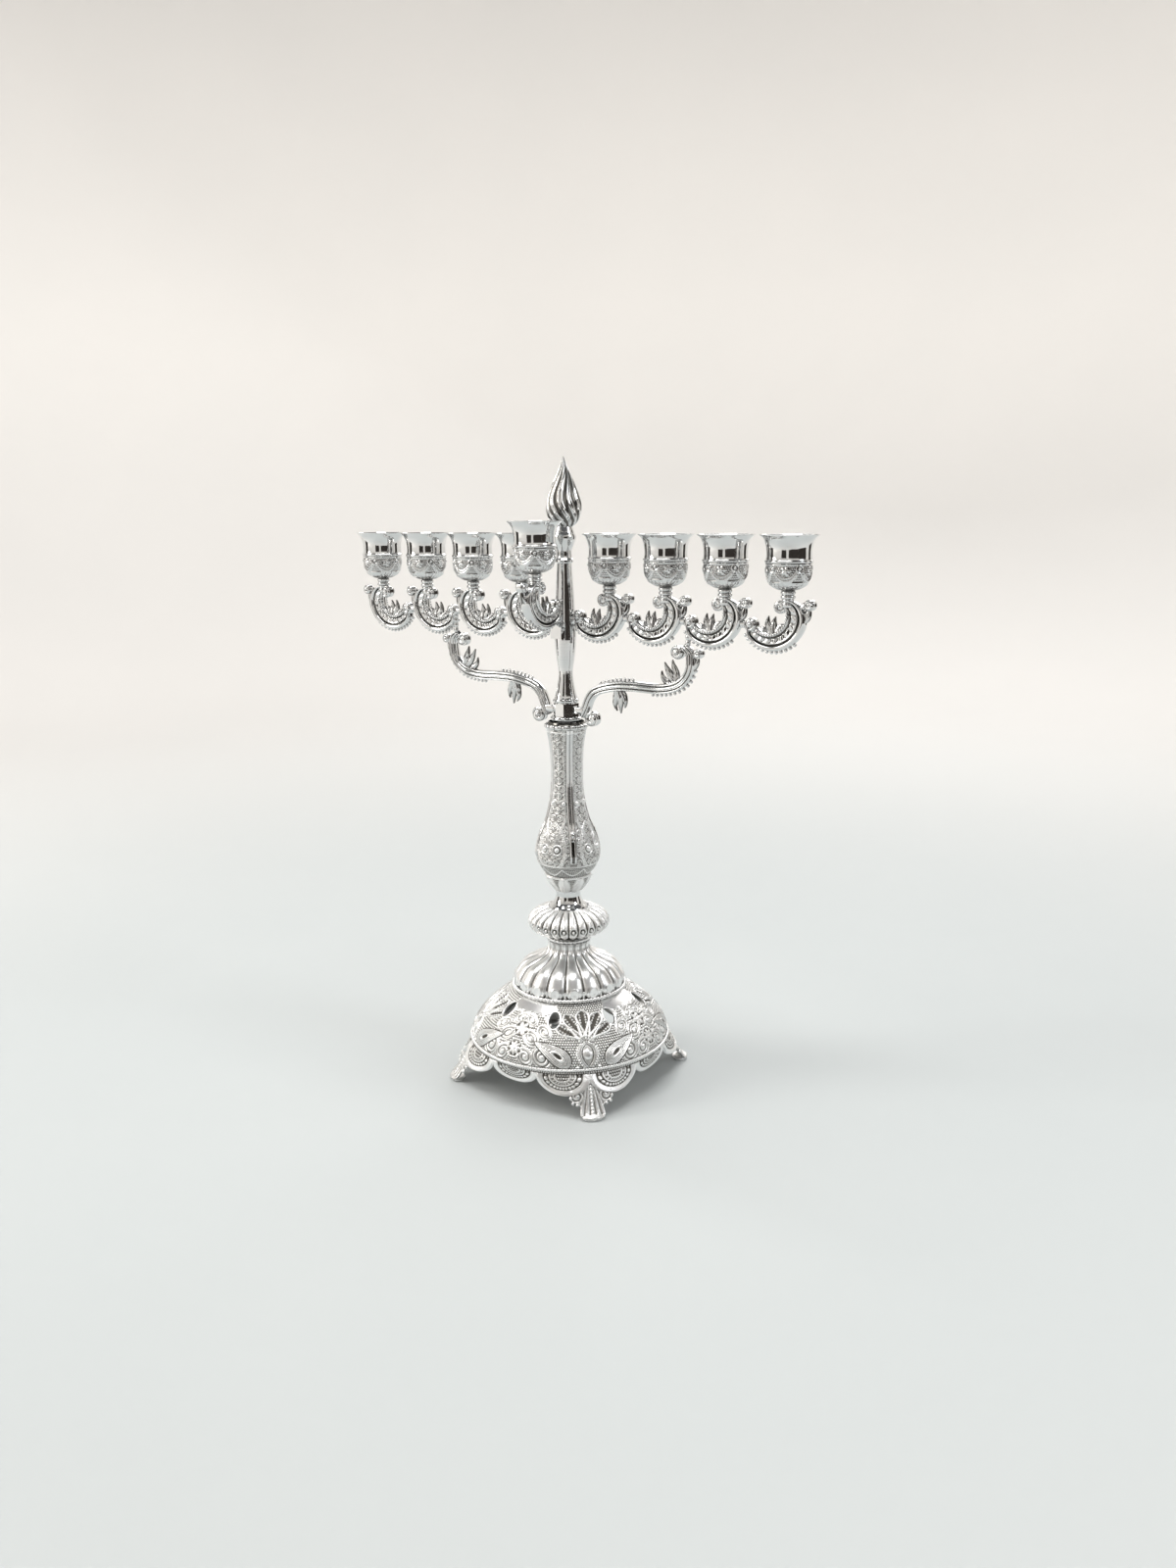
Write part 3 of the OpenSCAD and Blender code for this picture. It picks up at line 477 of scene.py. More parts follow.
def post(shape, low, high, soften):
    """An upright bar with softened edges, between two corners."""
    low, high = np.array(low, float), np.array(high, float)
    middle, half = (low + high) / 2, (high - low) / 2
    sides, closed_off = 40, 99
    turn = np.arange(sides) / sides * TURN
    c, s = np.cos(turn), np.sin(turn)
    loop = np.stack([np.sign(c) * np.abs(c) ** 0.22, np.sign(s) * np.abs(s) ** 0.22], 1)
    rows = []
    for z, shrink in ((low[2], closed_off), (low[2], soften), (low[2] + soften, 0),
                      (high[2] - soften, 0), (high[2], soften), (high[2], closed_off)):
        size = np.maximum(half[:2] - shrink, 0.0)
        rows.append(np.column_stack([middle[:2] + loop * size, np.full(sides, z)]))
    shape.grid(np.array(rows), around=True)


# ---------------------------------------------------------------- base

RIDGE_R, RIDGE_Z, DOME_TOP = 72.0, 30.0, 68.0
DOME_LINE = spline([(72, 30), (72.2, 33.5), (69.8, 40.64), (62.8, 49.76), (50.24, 60.4), (39, 68)], 5)
DOME_WALL = 1.8
WINDOW_R, WINDOW_Z = 4.5, 59.0
# the plain shoulder starts at this level, except over the fans, which are this far each way
PLAIN_Z, FAN_HALF = 60.0, 17


# width of the sunk line round a raised motif
MOAT = 0.8


def in_window(a, r, z):
    """The openings round the dome's shoulder, two beside each corner."""
    turn = np.mod(a, TURN / 8) - TURN / 16
    return np.hypot(r * np.sin(turn), z - WINDOW_Z) < WINDOW_R


def dome_relief(a, s, r, z):
    """One corner's filigree, repeated for the four corners: a jewel on the corner line
    between two paisleys, a fan of petals over it, and rosettes on the flanks."""
    u, v = r * corner_turn(a), s
    m = np.abs(u)
    h = pebbled(u, v, 1.8, 0.75)

    # flank scrolls and rosettes
    for cu, cv, size, hand in ((33, 9, 7.0, 1), (46, 8, 6.2, -1), (29, 27, 5.2, -1), (40, 21.5, 6.0, 1),
                               (38, 35, 5.0, -1), (22.5, 37, 4.0, 1)):
        coil, rho = spiral(m, v, cu, cv, size, 2.6, hand)
        h = np.where(rho < size, np.maximum(coil, 0.06), h)
        h = np.maximum(h, ridge(rho - size, 0.5, 1.0))
    side = np.mod(a, TURN / 4)
    w = r * np.minimum(side, TURN / 4 - side)
    for cv, size, petals in ((27, 5.6, 6), (12.5, 5.2, 8)):
        bloom = flower(w, v, 0, cv, size, petals)
        near = np.hypot(w, v - cv)
        h = np.where(near < size, np.maximum(bloom, 0.05), h)
        h = np.maximum(h, dotted(np.arctan2(v - cv, w) * (size + 1.1), near - size - 1.1, 1.9, 0.7, 1.1))

    # fan of petals above the jewel
    for lean in (56, 28, 0):
        along, across = turn_to(m, v, 0, 19.5, lean)
        if lean == 0:
            along, across = v - 19.5, u
        length, half = (22.5, 4.9) if lean < 50 else (21, 4.4)
        petal, depth = wired_drop(along - 3, across, length, half, 0.74, 1, 1.4, 1.35)
        heart = dotted(along - 4, np.abs(across) - 0.42 * half, 2.1, 0.8, 1.25) * (along > 6) * (depth > 1.5)
        well = np.where(depth > 1.3, 0.02, petal)
        inner = np.maximum(well, heart)
        slot = inside_drop(along - 14.5, across, 6.5, 0.8, 0.55)
        inner = np.where(slot > 0, -0.1, inner)
        h = np.where(depth > 0, inner, np.where(depth > -MOAT, 0.0, h))
        h = np.maximum(h, dotted(along - 3, np.abs(across) - half * 0.9 - 0.6, 1.9, 0.75, 1.5)
                       * (along > 5) * (along < length * 0.7) * (depth < 1.0) * (depth > -2.0))
        h = np.maximum(h, ridge(depth - 0.1, 0.55, 1.5))

    # paisleys beside the jewel
    along, across = turn_to(m, v, 14.0, 3.2, 38)
    bent = across - 0.012 * along ** 2
    petal, depth = wired_drop(along, bent, 27, 6.6, 0.36, 4, 1.25, 1.3)
    pit = np.hypot((along - 10.5) / 3.6, bent / 1.7)
    petal = np.where(depth > 4.6, np.where(pit < 1, -1.0, 0.3), petal)
    petal = np.maximum(petal, ridge(np.abs(pit - 1.25) * 1.7, 0.5, 1.1) * (depth > 3.4))
    petal = np.maximum(petal, dotted(along, bent, 1.8, 0.7, 1.1) * (along > 15) * (depth > 1))
    h = np.where(depth > 0, petal, np.where(depth > -MOAT, 0.0, h))

    # jewel on the corner line, with beads round it
    along, across = 20.0 - v, u
    petal, depth = wired_drop(along, across, 19.0, 6.8, 0.42, 2, 1.3, 1.5)
    well = np.where(depth > 3.0, 0.35 + dome(np.hypot(across, along - 8.2), 3.6, 1.4), petal)
    h = np.where(depth > 0, well, h)
    around = np.arctan2(across, along - 8.5) * 8.2
    beaded = np.maximum(h, dotted(around, depth + 0.8, 1.9, 0.85, 1.55))
    h = np.where((depth > -2.0) & (depth < 0.2), beaded, h)
    rho = np.hypot(u, v - 19.8)
    arc = np.arctan2(u, v - 19.8)
    h = np.maximum(h, dotted(arc * 5.2, rho - 5.0, 2.0, 0.95, 1.7) * (v > 19.5) * (np.abs(arc) < 1.5))
    h = np.maximum(h, dome(np.hypot(m - 7.6, v - 2.2), 1.7, 1.7))

    # milled border along the rim, and the plain polished shoulder above
    h = np.where(v < 2.6, dotted(u, v - 1.5, 1.55, 0.78, 0.9), h)
    scallop = 1.3 * np.abs(np.sin(u * math.pi / 6.6))
    top = PLAIN_Z + np.where(m < FAN_HALF, 9.0, scallop)
    plain = z > top
    edge = ridge(z - top, 0.6, 0.9)
    h = np.where(plain, 0.12, h)
    return np.where(m >= FAN_HALF, np.maximum(h, edge), h)


def make_dome():
    shape = Shape()

    def keep(a, s, r, z):
        return ~in_window(a, r, z)

    def coat(a, s, r, z):
        m = np.abs(r * corner_turn(a))
        return ((z > PLAIN_Z + 1.4) & (m >= FAN_HALF)).astype(int)

    # the plain shoulder is left almost free of painted shade
    def level(a, s, r, z, share):
        return np.where(coat(a, s, r, z) > 0, 0.95, share)

    turned(shape, DOME_LINE, 1320, dome_relief, coat, 0.40, keep, level)
    count = len(DOME_LINE)
    inner = DOME_LINE - np.stack([np.full(count, DOME_WALL), np.linspace(0, DOME_WALL, count)], 1)
    turned(shape, inner[::-1], 180, None, 0, 1.6, keep, lambda a, s, r, z, share: 0.4 + 0 * a)
    shape.grid(rings(((72, 30), (70.2, 30)), 96), around=True, flip=True)
    shape.grid(rings(((39.0, DOME_TOP), (3.4, DOME_TOP)), 96), around=True)
    turn = np.arange(30) / 30 * TURN
    for k in range(8):
        a = TURN / 16 + k * TURN / 8
        out = np.array([math.cos(a), math.sin(a), 0])
        side = np.array([-math.sin(a), math.cos(a), 0])
        x, z = WINDOW_R * np.cos(turn), WINDOW_Z + WINDOW_R * np.sin(turn)
        rim = np.interp(z, DOME_LINE[:, 1], DOME_LINE[:, 0])
        deep = np.sqrt(rim ** 2 - x ** 2)
        loop = deep[:, None] * out + x[:, None] * side + z[:, None] * np.array([0, 0, 1.0])
        rod(shape, loop, 0.75, out, 10, True, 1)
        sleeve = np.array([loop, loop - 2.6 * out])
        # the window sleeves get a fixed, fairly dark painted shade
        shape.grid(sleeve, around=True, paint=0, relief=0.2)
    mesh = shape.mesh("dome", [FROSTED, BURNISHED])
    finish_piece("base_dome_filigree", mesh, "frame", ["base_dome"])


SIDE_LOBE, SIDE_DROP, CORNER_DROP, SKIRT_BAND = 15.5, 10.0, 11.5, 3.0


def skirt_at(a):
    """How far an angle is from the middle of its side and how its lobe hangs: share
    across the lobe, and the lobe's drop."""
    degrees = np.degrees(a)
    from_side = np.abs(np.mod(degrees + 45, 90) - 45)
    corner_mid, corner_half = (SIDE_LOBE + 45) / 2, (45 - SIDE_LOBE) / 2
    middle = from_side < SIDE_LOBE
    share = np.where(middle, from_side / SIDE_LOBE, (from_side - corner_mid) / corner_half)
    lean = 0.19 - 0.44 * np.cos(4 * a)
    return share, np.where(middle, SIDE_DROP, CORNER_DROP), lean, middle


def make_skirt():
    """Hanging lobes, each chased with arcs inside its rolled edge."""
    shape = Shape()
    a = np.arange(1080) / 1080 * TURN
    share, deep, lean, middle = skirt_at(a)
    drop = SKIRT_BAND + deep * np.sqrt(np.clip(1 - share ** 2, 0, 1))
    t = np.linspace(0, 1, 34)[:, None]
    fall = drop * t
    q = np.sqrt(np.clip(share ** 2 + (np.clip(fall - SKIRT_BAND, -1, None) / deep) ** 2, 0, 1.2))
    reach = 11.0
    d = (1 - q) * reach
    width = np.where(middle, 19.0, 18.5)
    angle = np.arctan2(share * width, np.maximum(fall - SKIRT_BAND, 0) + 0.01)
    h = pebbled(a * RIDGE_R + 0 * t, fall, 1.7, 0.6)
    h = np.where(d < 7.6, 0.1, h)
    for wire, high in ((2.3, 0.9), (5.7, 1.0), (7.7, 1.0)):
        h = np.maximum(h, ridge(d - wire, 0.38, high))
    h = np.maximum(h, dotted(angle * (reach - 4.0), d - 4.0, 1.8, 0.8, 1.0))
    h = np.maximum(h, dotted(angle * (reach - 6.7), d - 6.7, 1.4, 0.55, 0.7))
    h = np.maximum(h, dome(np.clip(d - 0.7, -1.4, 1.4), 1.5, 1.5) * (d < 2.2))
    h = np.where(fall < 2.0, dotted(a * RIDGE_R + 0 * t, fall - 1.0, 1.6, 0.7, 0.8), h)
    flare = 0.9 * smooth(fall, 1.5, 6)
    r = RIDGE_R + fall * lean + h * 0.62 + 0.1 + flare * (~middle)
    z = RIDGE_Z - fall
    front = circle(r, z, a)
    shape.grid(front[::-1], around=True, relief=np.clip(h / 1.3, 0, 1)[::-1])
    rb = RIDGE_R + fall * lean - DOME_WALL + flare * (~middle)
    back = circle(rb, z, a)
    shape.grid(back[::3], around=True, relief=0.35)
    mid = (front[-1] + back[-1]) / 2 + np.array([0, 0, 0.3])
    rod(shape, mid, 1.05, (0, 0, 1), 10, True, 1)
    mesh = shape.mesh("skirt", [FROSTED, BURNISHED])
    finish_piece("base_skirt_filigree", mesh, "frame", ["base_skirt"])


def make_rims():
    """The corded wires at the dome's rim and under the fluted cap, and the neck's beads."""
    for name, node, radius, z, bead, count, slot in (
            ("base_cord", "base_rope_rim", RIDGE_R + 1.6, 31.3, 1.15, 230, "polished_plate"),
            ("cap_cord", "cap_bead_rim", 41.5, 69.6, 1.4, 92, "polished_plate"),
            ("neck_beads", "neck_bead_ring", 15.2, 105.0, 1.5, 32, "polished_plate")):
        shape = Shape()
        ring_of_beads(shape, radius, z, bead, count)
        turn = np.arange(180) / 180 * TURN
        rod(shape, circle(radius, z, turn), bead * 0.72, (0, 0, 1), 10, True)
        if node == "neck_bead_ring":
            turned(shape, [(14.9, 103.5), (15.4, 105.0), (14.9, 106.5)], 96)
        finish_piece(name, shape.mesh(name, [BURNISHED]), "frame", [node])


FOOT_LINE = spline([(73.0, 28.6), (73.6, 26.8), (78.95, 17.7), (83.8, 8.84), (87.6, 4.0), (91.0, 2.6)], 8)


def make_feet():
    """Four leaning leaves with a rib of beads, veins that fan from the top, a curl at
    each side and a round toe."""
    line = respace(FOOT_LINE, 0.45)
    run = run_along(line) / run_along(line)[-1]
    half = np.interp(run, [0, 0.1, 0.28, 0.42, 0.5, 0.56, 0.63, 0.7, 0.8, 0.88, 0.95, 0.985, 1.0],
                     [3.5, 5.5, 11.0, 14.8, 15.6, 14.4, 10.6, 8.2, 8.8, 9.0, 7.2, 4.6, 2.4])
    w = np.linspace(-1, 1, 61)
    s, ww = np.meshgrid(run * run_along(line)[-1], w, indexing="ij")
    t = s / s.max()
    y = ww * half[:, None]
    # veins fan out from the top and end in scallops at the edge
    fan = np.arctan2(y, s + 2.0)
    vein = np.abs(np.mod(fan * 7.5, 1) - 0.5)
    h = 0.2 + 0.55 * smooth(vein, 0.05, 0.35)
    edge = half[:, None] * (1 - np.abs(ww))
    h = np.maximum(h, ridge(edge - 0.9, 0.5, 1.1))
    h = np.maximum(h, dotted(s, np.abs(y) - half[:, None] * 0.55, 1.6, 0.55, 0.9) * (t < 0.62))
    h = np.maximum(h, dotted(s, y, 2.6, 1.15, 1.5) * (t > 0.18) * (t < 0.86))
    for sign in (-1, 1):
        coil, rho = spiral(y * sign, -s, 10.2, -s.max() * 0.47, 4.7, 1.9, 1)
        h = np.where(rho < 4.7, np.maximum(coil, 0.05), h)
    h = np.where(t > 0.9, 0.5 + 0.4 * dome(np.hypot(y / 6, (t - 0.93) / 0.08), 1, 1), h)
    across = unit(np.gradient(line, axis=0))
    lift = np.stack([-across[:, 1], across[:, 0]], 1)
    sink = -0.9 * (1 - smooth(run, 0.1, 0.35)) + 0.1
    thick = 2.1
    curve = 0.9 * (1 - ww ** 2) * smooth(t, 0, 0.3)
    rise = h * 0.7 + sink[:, None] + curve - 0.9
    front_r = line[:, :1] + lift[:, :1] * rise
    front_z = line[:, 1:] + lift[:, 1:] * rise
    low = thick * np.sqrt(np.clip(1 - np.abs(ww) ** 6, 0.05, 1))
    back_r = line[:, :1] - lift[:, :1] * low + 0 * ww
    back_z = line[:, 1:] - lift[:, 1:] * low + 0 * ww
    back_z = np.maximum(back_z, 0.0)
    front_z = np.maximum(front_z, 0.4)
    loop_r = np.concatenate([front_r, back_r[:, ::-1]], 1)
    loop_y = np.concatenate([y, y[:, ::-1] * 0.97], 1)
    loop_z = np.concatenate([front_z, back_z[:, ::-1]], 1)
    relief = np.concatenate([np.clip(h / 1.3, 0, 1), 0.4 + 0 * h], 1)
    # the toe's flat underside and rounded nose
    points = np.stack([loop_r, loop_y, loop_z], -1)
    nose = points[-1].mean(0)
    nose[2] = 0.9
    start = points[:1] * 0 + points[:1].mean(1, keepdims=True)
    points = np.concatenate([start, points, nose[None, None] + 0 * points[-1:]], 0)
    relief = np.concatenate([relief[:1], relief, relief[-1:]], 0)
    shape = Shape()
    shape.grid(points, around=True, relief=relief)
    mid_row = int(0.47 * len(line))
    for sign in (-1, 1):
        for dy, ds in ((13.6, -3.0), (14.6, 1.4), (13.4, 5.0), (10.4, 6.6)):
            row = min(len(line) - 1, mid_row + int(ds / 0.45))
            shape.beads([[line[row, 0] - 0.7, sign * dy, line[row, 1] + 0.2]], 1.15)
    # pad resting on the table
    toe = [(0.01, 0.0), (6.4, 0.0), (7.2, 0.6), (7.3, 1.5), (6.2, 2.3), (0.01, 2.5)]
    pad = Shape()
    turned(pad, toe, 48, None, 0, 0.5)
    squashed = pad.moved(lambda p: p * np.array([0.72, 1.0, 1.0]) + np.array([85.4, 0, 0]))
    for points_, faces_, relief_, paint_ in zip(squashed.points, squashed.faces, squashed.reliefs, squashed.paints):
        shape.add(points_, faces_ - faces_.min(), relief_, paint_)
    # the tab inside the dome's wall
    post(shape, (67.5, -4.5, 21.5), (69.75, 4.5, 35.0), 0.4)
    post(shape, (67.5, -4.5, 21.5), (74.0, 4.5, 25.2), 0.4)
    mesh = shape.mesh("foot", [FROSTED])
    for k, name in enumerate(("rear_right", "rear_left", "front_left", "front_right")):
        turn = Matrix.Rotation(TURN / 8 + k * TURN / 4, 4, "Z")
        finish_piece("leaf_foot_" + name, mesh, "frame", ["foot_" + name], turn)


# ---------------------------------------------------------------- column

def make_fluted_cap():
    """Eighteen gadroons that swell to round ends, with darts between them, and a ribbed neck."""
    count, base = 18, 68.0
    line = spline([(39.4, 0), (40, 3.5), (39.7, 7.81), (37.8, 11.36), (33.2, 16.69), (24.25, 21.3),
                   (18.2, 25.56), (15, 29.47), (14.6, 32.66), (15.4, 35.5)], 6)
    line = line - np.array([0.9, 0]) * (1 - smooth(line[:, 1:], 22, 30)) + np.array([0, base])

    def relief(a, s, r, z):
        x, half = across_lobe(a, r, count)
        up = z - base
        start = 6.6
        d = np.where(s > start, np.abs(x), np.hypot(x, (start - s) / 5.6)) / 0.93
        high = 2.1 - 1.45 * smooth(up, 17, 27)
        lobe = high * np.clip(1 - (d / 0.96) ** 2, 0, 1) ** 0.45
        eye = np.hypot(x * half, s - start + 0.6)
        lobe = lobe + ridge(eye - 3.0, 0.42, 0.45) * (s < start + 3)
        lobe = lobe + ridge(eye - 4.9, 0.38, 0.4) * (s < start)
        lobe = lobe - 0.5 * dome(eye, 1.6, 1.0)
        gap = 1 - np.abs(x)
        dart = ridge(gap * half, 0.55 + 0.3 * smooth(-s, -9, -2), 0.9) * (s < 7.5) * (s > 1.2)
        return np.maximum(lobe, dart) + 0.25 * np.cos(a * count * 3) * smooth(up, 26, 30)

    shape = Shape()
    turned(shape, line, 1080, relief, 0, 0.5)
    inner = [(37.0, 68.05), (36.8, 76.0), (30.0, 84.0), (16.0, 92.0), (12.4, 103.4)]
    turned(shape, inner[::-1], 96, None, 0, 2.0)
    finish_piece("gadrooned_cap", shape.mesh("gadrooned_cap", [BURNISHED]), "frame", ["fluted_cap"])


def make_knop():
    """A flattened knop of reeded lobes, with an eye and beads at the end of each."""
    count, base = 26, 106.5
    line = spline([(15.2, 0), (15.7, 1.68), (19.92, 3.78), (26.08, 6.09), (28.7, 8.82), (29.3, 11.55),
                   (27.25, 15.33), (22, 18.69), (15, 21)], 6) + np.array([-0.8, base])
    line[:, 0] = np.maximum(line[:, 0], 14.2)

    def relief(a, s, r, z):
        x, half = across_lobe(a, r, count)
        up = z - base
        outer = smooth(s, 4, 10)
        lobe = 1.5 * np.clip(1 - (np.abs(x) / 0.86) ** 2, 0, 1) ** 0.6 * outer
        beaded = dotted(s, np.abs(x * half) - half * 0.55, 1.35, 0.5, 0.35) * (up > 11)
        stem = ridge(x * half, 0.4, 0.35) * (up > 12)
        eye = np.hypot(x * half, s - 18.6)
        lobe = np.where(eye < half * 0.7, dome(eye, 1.0, 1.7), lobe)
        lobe = np.maximum(lobe, ridge(eye - half * 0.74, 0.36, 1.4) * (s < 22.5))
        under = np.hypot(x * half, s - 12.6)
        lobe = np.maximum(lobe, dome(under, 1.2, 1.8))
        return lobe + beaded + stem

    shape = Shape()
    turned(shape, line, 1008, relief, 0, 0.42)
    finish_piece("reeded_knop", shape.mesh("reeded_knop", [FROSTED]), "frame", ["gadroon_knop"])


def make_leaf_cup():
    """A calyx of eight veined leaves."""
    count, base = 8, 142.0
    line = spline([(9.5, 0), (12, 2.86), (15.4, 7.8), (16.8, 13)], 8) + np.array([-0.5, base])

    def relief(a, s, r, z):
        x, half = across_lobe(a, r, count)
        reach = s / 14.5
        edge = 0.98 * np.sqrt(np.clip(1 - reach ** 2.4, 0, 1)) - np.abs(x)
        leaf = 0.25 + 0.55 * smooth(edge, 0, 0.35)
        leaf = leaf + ridge(x * half, 0.45, 0.5)
        veins = np.abs(np.mod((s - np.abs(x * half) * 0.9) / 1.5, 1) - 0.5)
        leaf = leaf + 0.3 * smooth(veins, 0.1, 0.4)
        back = pebbled(a * r, s, 1.5, 0.6)
        return np.where(edge > 0, leaf, back) + ridge(s - 13.4, 0.55, 0.8)

    shape = Shape()
    turned(shape, line, 576, relief, 0, 0.35)
    finish_piece("leaf_calyx", shape.mesh("leaf_calyx", [FROSTED]), "frame", ["leaf_cup"])


BALUSTER_LINE = spline([(16.4, 0), (20, 4.7), (22.5, 10.2), (23, 16.6), (20.7, 26.75), (17.6, 34), (14.7, 41.3),
                        (11.8, 53.5), (10.6, 65.3), (10.5, 77), (10.9, 89.9), (12.1, 99.5), (13.6, 107)], 5)


def baluster_relief(a, s, r, z):
    """A quarter of the baluster: polished double ribs at its edges, and between them a
    pebbled panel with bead lines, a shield with two bosses, and scrolls."""
    base = 155.0
    turn = corner_turn(a)
    side = np.abs(r * turn)
    mid = r * (TURN / 8 - np.abs(turn))
    up = z - base
    h = coiled(mid, s, 5.4, 0.95)

    # bead lines and lancet edges that follow the panel up the neck
    for off in (3.0, 5.2):
        line = ridge(side - off * (0.55 + r / 42), 0.35, 0.7)
        h = np.maximum(h, line * (up > 30))
    h = np.maximum(h, dotted(s, mid, 1.7, 0.7, 0.8) * (up > 52) * (up < 100))
    h = np.maximum(h, dotted(s, side - 4.1 * (0.55 + r / 42), 1.5, 0.55, 0.7) * (up > 48))

    # shields with bosses on the belly
    along = s - 7.5
    shield = inside_drop(along, mid, 36, 12.5, 0.38)
    h = np.where(shield > 0, coiled(mid, s + 2.0, 4.6, 0.8), h)
    for wire in (0.5, 1.9):
        h = np.maximum(h, ridge(shield - wire, 0.42, 1.25 - 0.2 * wire))
    h = np.maximum(h, dotted(s, shield - 1.2, 1.5, 0.5, 1.0) * (shield > 0.6) * (shield < 1.8))
    boss_at = 23.0 * math.radians(13)
    near = np.hypot(mid - boss_at, up - 21.0)
    h = np.where(near < 3.6, 0.0, h)
    h = np.maximum(h, ridge(near - 3.3, 0.45, 1.3))
    h = np.maximum(h, dome(near, 2.0, 2.3))
    near = np.hypot(mid, up - 9.0)
    h = np.maximum(h, ridge(near - 4.0, 0.42, 1.0) * (up > 6))

    # scrolls that climb from the ribs to bead pairs at the neck
    for k in range(3):
        sweep = side - (2.2 + k * 1.5 + 9.0 * smooth(up, 50 - k * 3, 24) ** 1.4)
        h = np.maximum(h, ridge(sweep, 0.36, 1.0) * (up > 24) * (up < 50 - k * 3))
    near = np.hypot(side - 4.6, up - 53.0)
    h = np.where(near < 2.8, 0.0, h)
    h = np.maximum(h, dome(near, 1.7, 2.2))
    h = np.maximum(h, ridge(near - 2.5, 0.4, 1.0))

    # polished double ribs on the quarter lines, with a slot of shadow at the belly
    rib = dome(np.clip(side - 1.25, -1.2, 1.2), 1.2, 1.5) * (side < 2.45)
    rib = rib * smooth(up, 10, 16) + 0.15
    h = np.where(side < 2.6, rib, h)
    h = np.where((side < 1.0) & (up > 12) & (up < 27), -0.6, h)
    knob = np.hypot(side, up - 31.5)
    h = np.maximum(h, dome(knob, 2.3, 2.3))

    # foot band and swags
    h = np.where(up < 8.6, pebbled(r * a, s, 1.5, 0.6), h)
    h = np.maximum(h, ridge(up - 8.6, 0.5, 1.1))
    swag = up - 1.5 - 5.0 * (1 - np.abs(np.cos(2 * turn * 2)))
    h = np.maximum(h, ridge(swag, 0.5, 0.9) * (up < 8))
    h = np.maximum(h, ridge(up - 104.5, 0.6, 0.9))
    return h


def make_baluster():
    shape = Shape()

    def coat(a, s, r, z):
        side = np.abs(r * corner_turn(a))
        return ((side < 2.5) & (z > 167) & (z < 259)).astype(int)

    turned(shape, BALUSTER_LINE + np.array([-0.4, 155.0]), 880, baluster_relief, coat, 0.42)
    finish_piece("chased_baluster", shape.mesh("chased_baluster", [FROSTED, CHASED]), "frame",
                 ["baluster"])


def make_flange():
    """A scalloped collar at the baluster's top."""
    def relief(a, s, r, z):
        return 0.9 * np.abs(np.sin(a * 8)) ** 0.6 * smooth(r, 13.4, 15.2)

    shape = Shape()
    line = [(13.4, 262.0), (14.9, 262.6), (15.0, 264.0), (13.9, 264.8), (12.8, 266.45)]
    turned(shape, spline(line, 5), 384, relief, 0, 0.3)
    finish_piece("scalloped_flange", shape.mesh("scalloped_flange", [CHASED]), "frame",
                 ["baluster_flange"])


def make_flame():
    """A flame of twisting tongues that draw to a point."""
    base = 402.5
    line = spline([(5.8, 0), (9.27, 3.42), (11.7, 8.55), (12.2, 14.7), (10.25, 22.3), (6.5, 31.4), (2.9, 39.9),
                   (0.25, 47.2)], 8)
    line = line * np.array([0.99, 1.0]) + np.array([0, base])

    def relief(a, s, r, z):
        up = (z - base) / 47.5
        twist = 0.75 * np.sin(up * 4.2) + 1.1 * up ** 2
        tongue = (np.mod((a + twist) * 11 / TURN, 1) - 0.5) * 2
        wave = 0.30 * np.sin(2 * (a + twist) + 7 * up)
        fold = np.abs(tongue + wave * (1 - np.abs(tongue)))
        high = 1.15 * np.clip(r / 8, 0, 1)
        return high * (np.clip(1 - fold ** 2, 0, 1) ** 0.5 - 0.75) + 0.12 * high * np.cos(33 * (a + twist))

    # painted shade between the tongues, lightened here to thin dark streaks
    def level(a, s, r, z, share):
        return np.clip(share * 2.6, 0, 1)

    shape = Shape()
    turned(shape, line, 396, relief, 0, 0.4, None, level)
    finish_piece("flame_tongues", shape.mesh("flame_tongues", [CHASED]), "frame", ["flame_finial"])


# ---------------------------------------------------------------- scroll arms

SCROLL_C, SCROLL_R = np.array([-9.6, -10.0]), 23.2
SHOULDER_C, SHOULDER_R = np.array([0.5, -13.0]), 12.66
EYE_C, EYE_R = np.array([-12.0, -10.4]), 11.6
SEAT_Z, FIRST_CUP, CUP_PITCH = 358.0, 37.2, 44.3
SERVANT_Y, SERVANT_SEAT_Z = -35.0, 366.8


def polar(centre, radius, degrees):
    a = np.radians(degrees)
    return np.stack([centre[0] + radius * np.cos(a), centre[1] + radius * np.sin(a)], -1)


def reach_to(circle, radius, degrees):
    """How far a ray from the eye's middle runs before it leaves a circle."""
    away = polar(np.zeros(2), 1.0, degrees)
    gap = EYE_C - circle
    along = away @ gap
    return -along + np.sqrt(np.maximum(along ** 2 - gap @ gap + radius ** 2, 0))


def slab(shape, centre_line, across, half_across, thick, relief=None):
    """A bar that lies in the arm's plane: across gives its in-plane side direction and
    thick its half thickness at each place from one edge to the other."""
    w = np.linspace(-1, 1, thick.shape[1])
    plane = centre_line[:, None] + across[:, None] * (half_across[:, None, None] * w[None, :, None])
    front = np.stack([plane[..., 0], -thick, plane[..., 1]], -1)
    back = np.stack([plane[..., 0], thick, plane[..., 1]], -1)
    # painted shade: without a given relief, thinner places toward the edges are painted darker
    level = np.clip(thick / 3.5, 0, 1) if relief is None else relief
    shape.grid(np.concatenate([front, back[:, ::-1]], 1), around=True,
               relief=np.concatenate([level, level[:, ::-1]], 1))


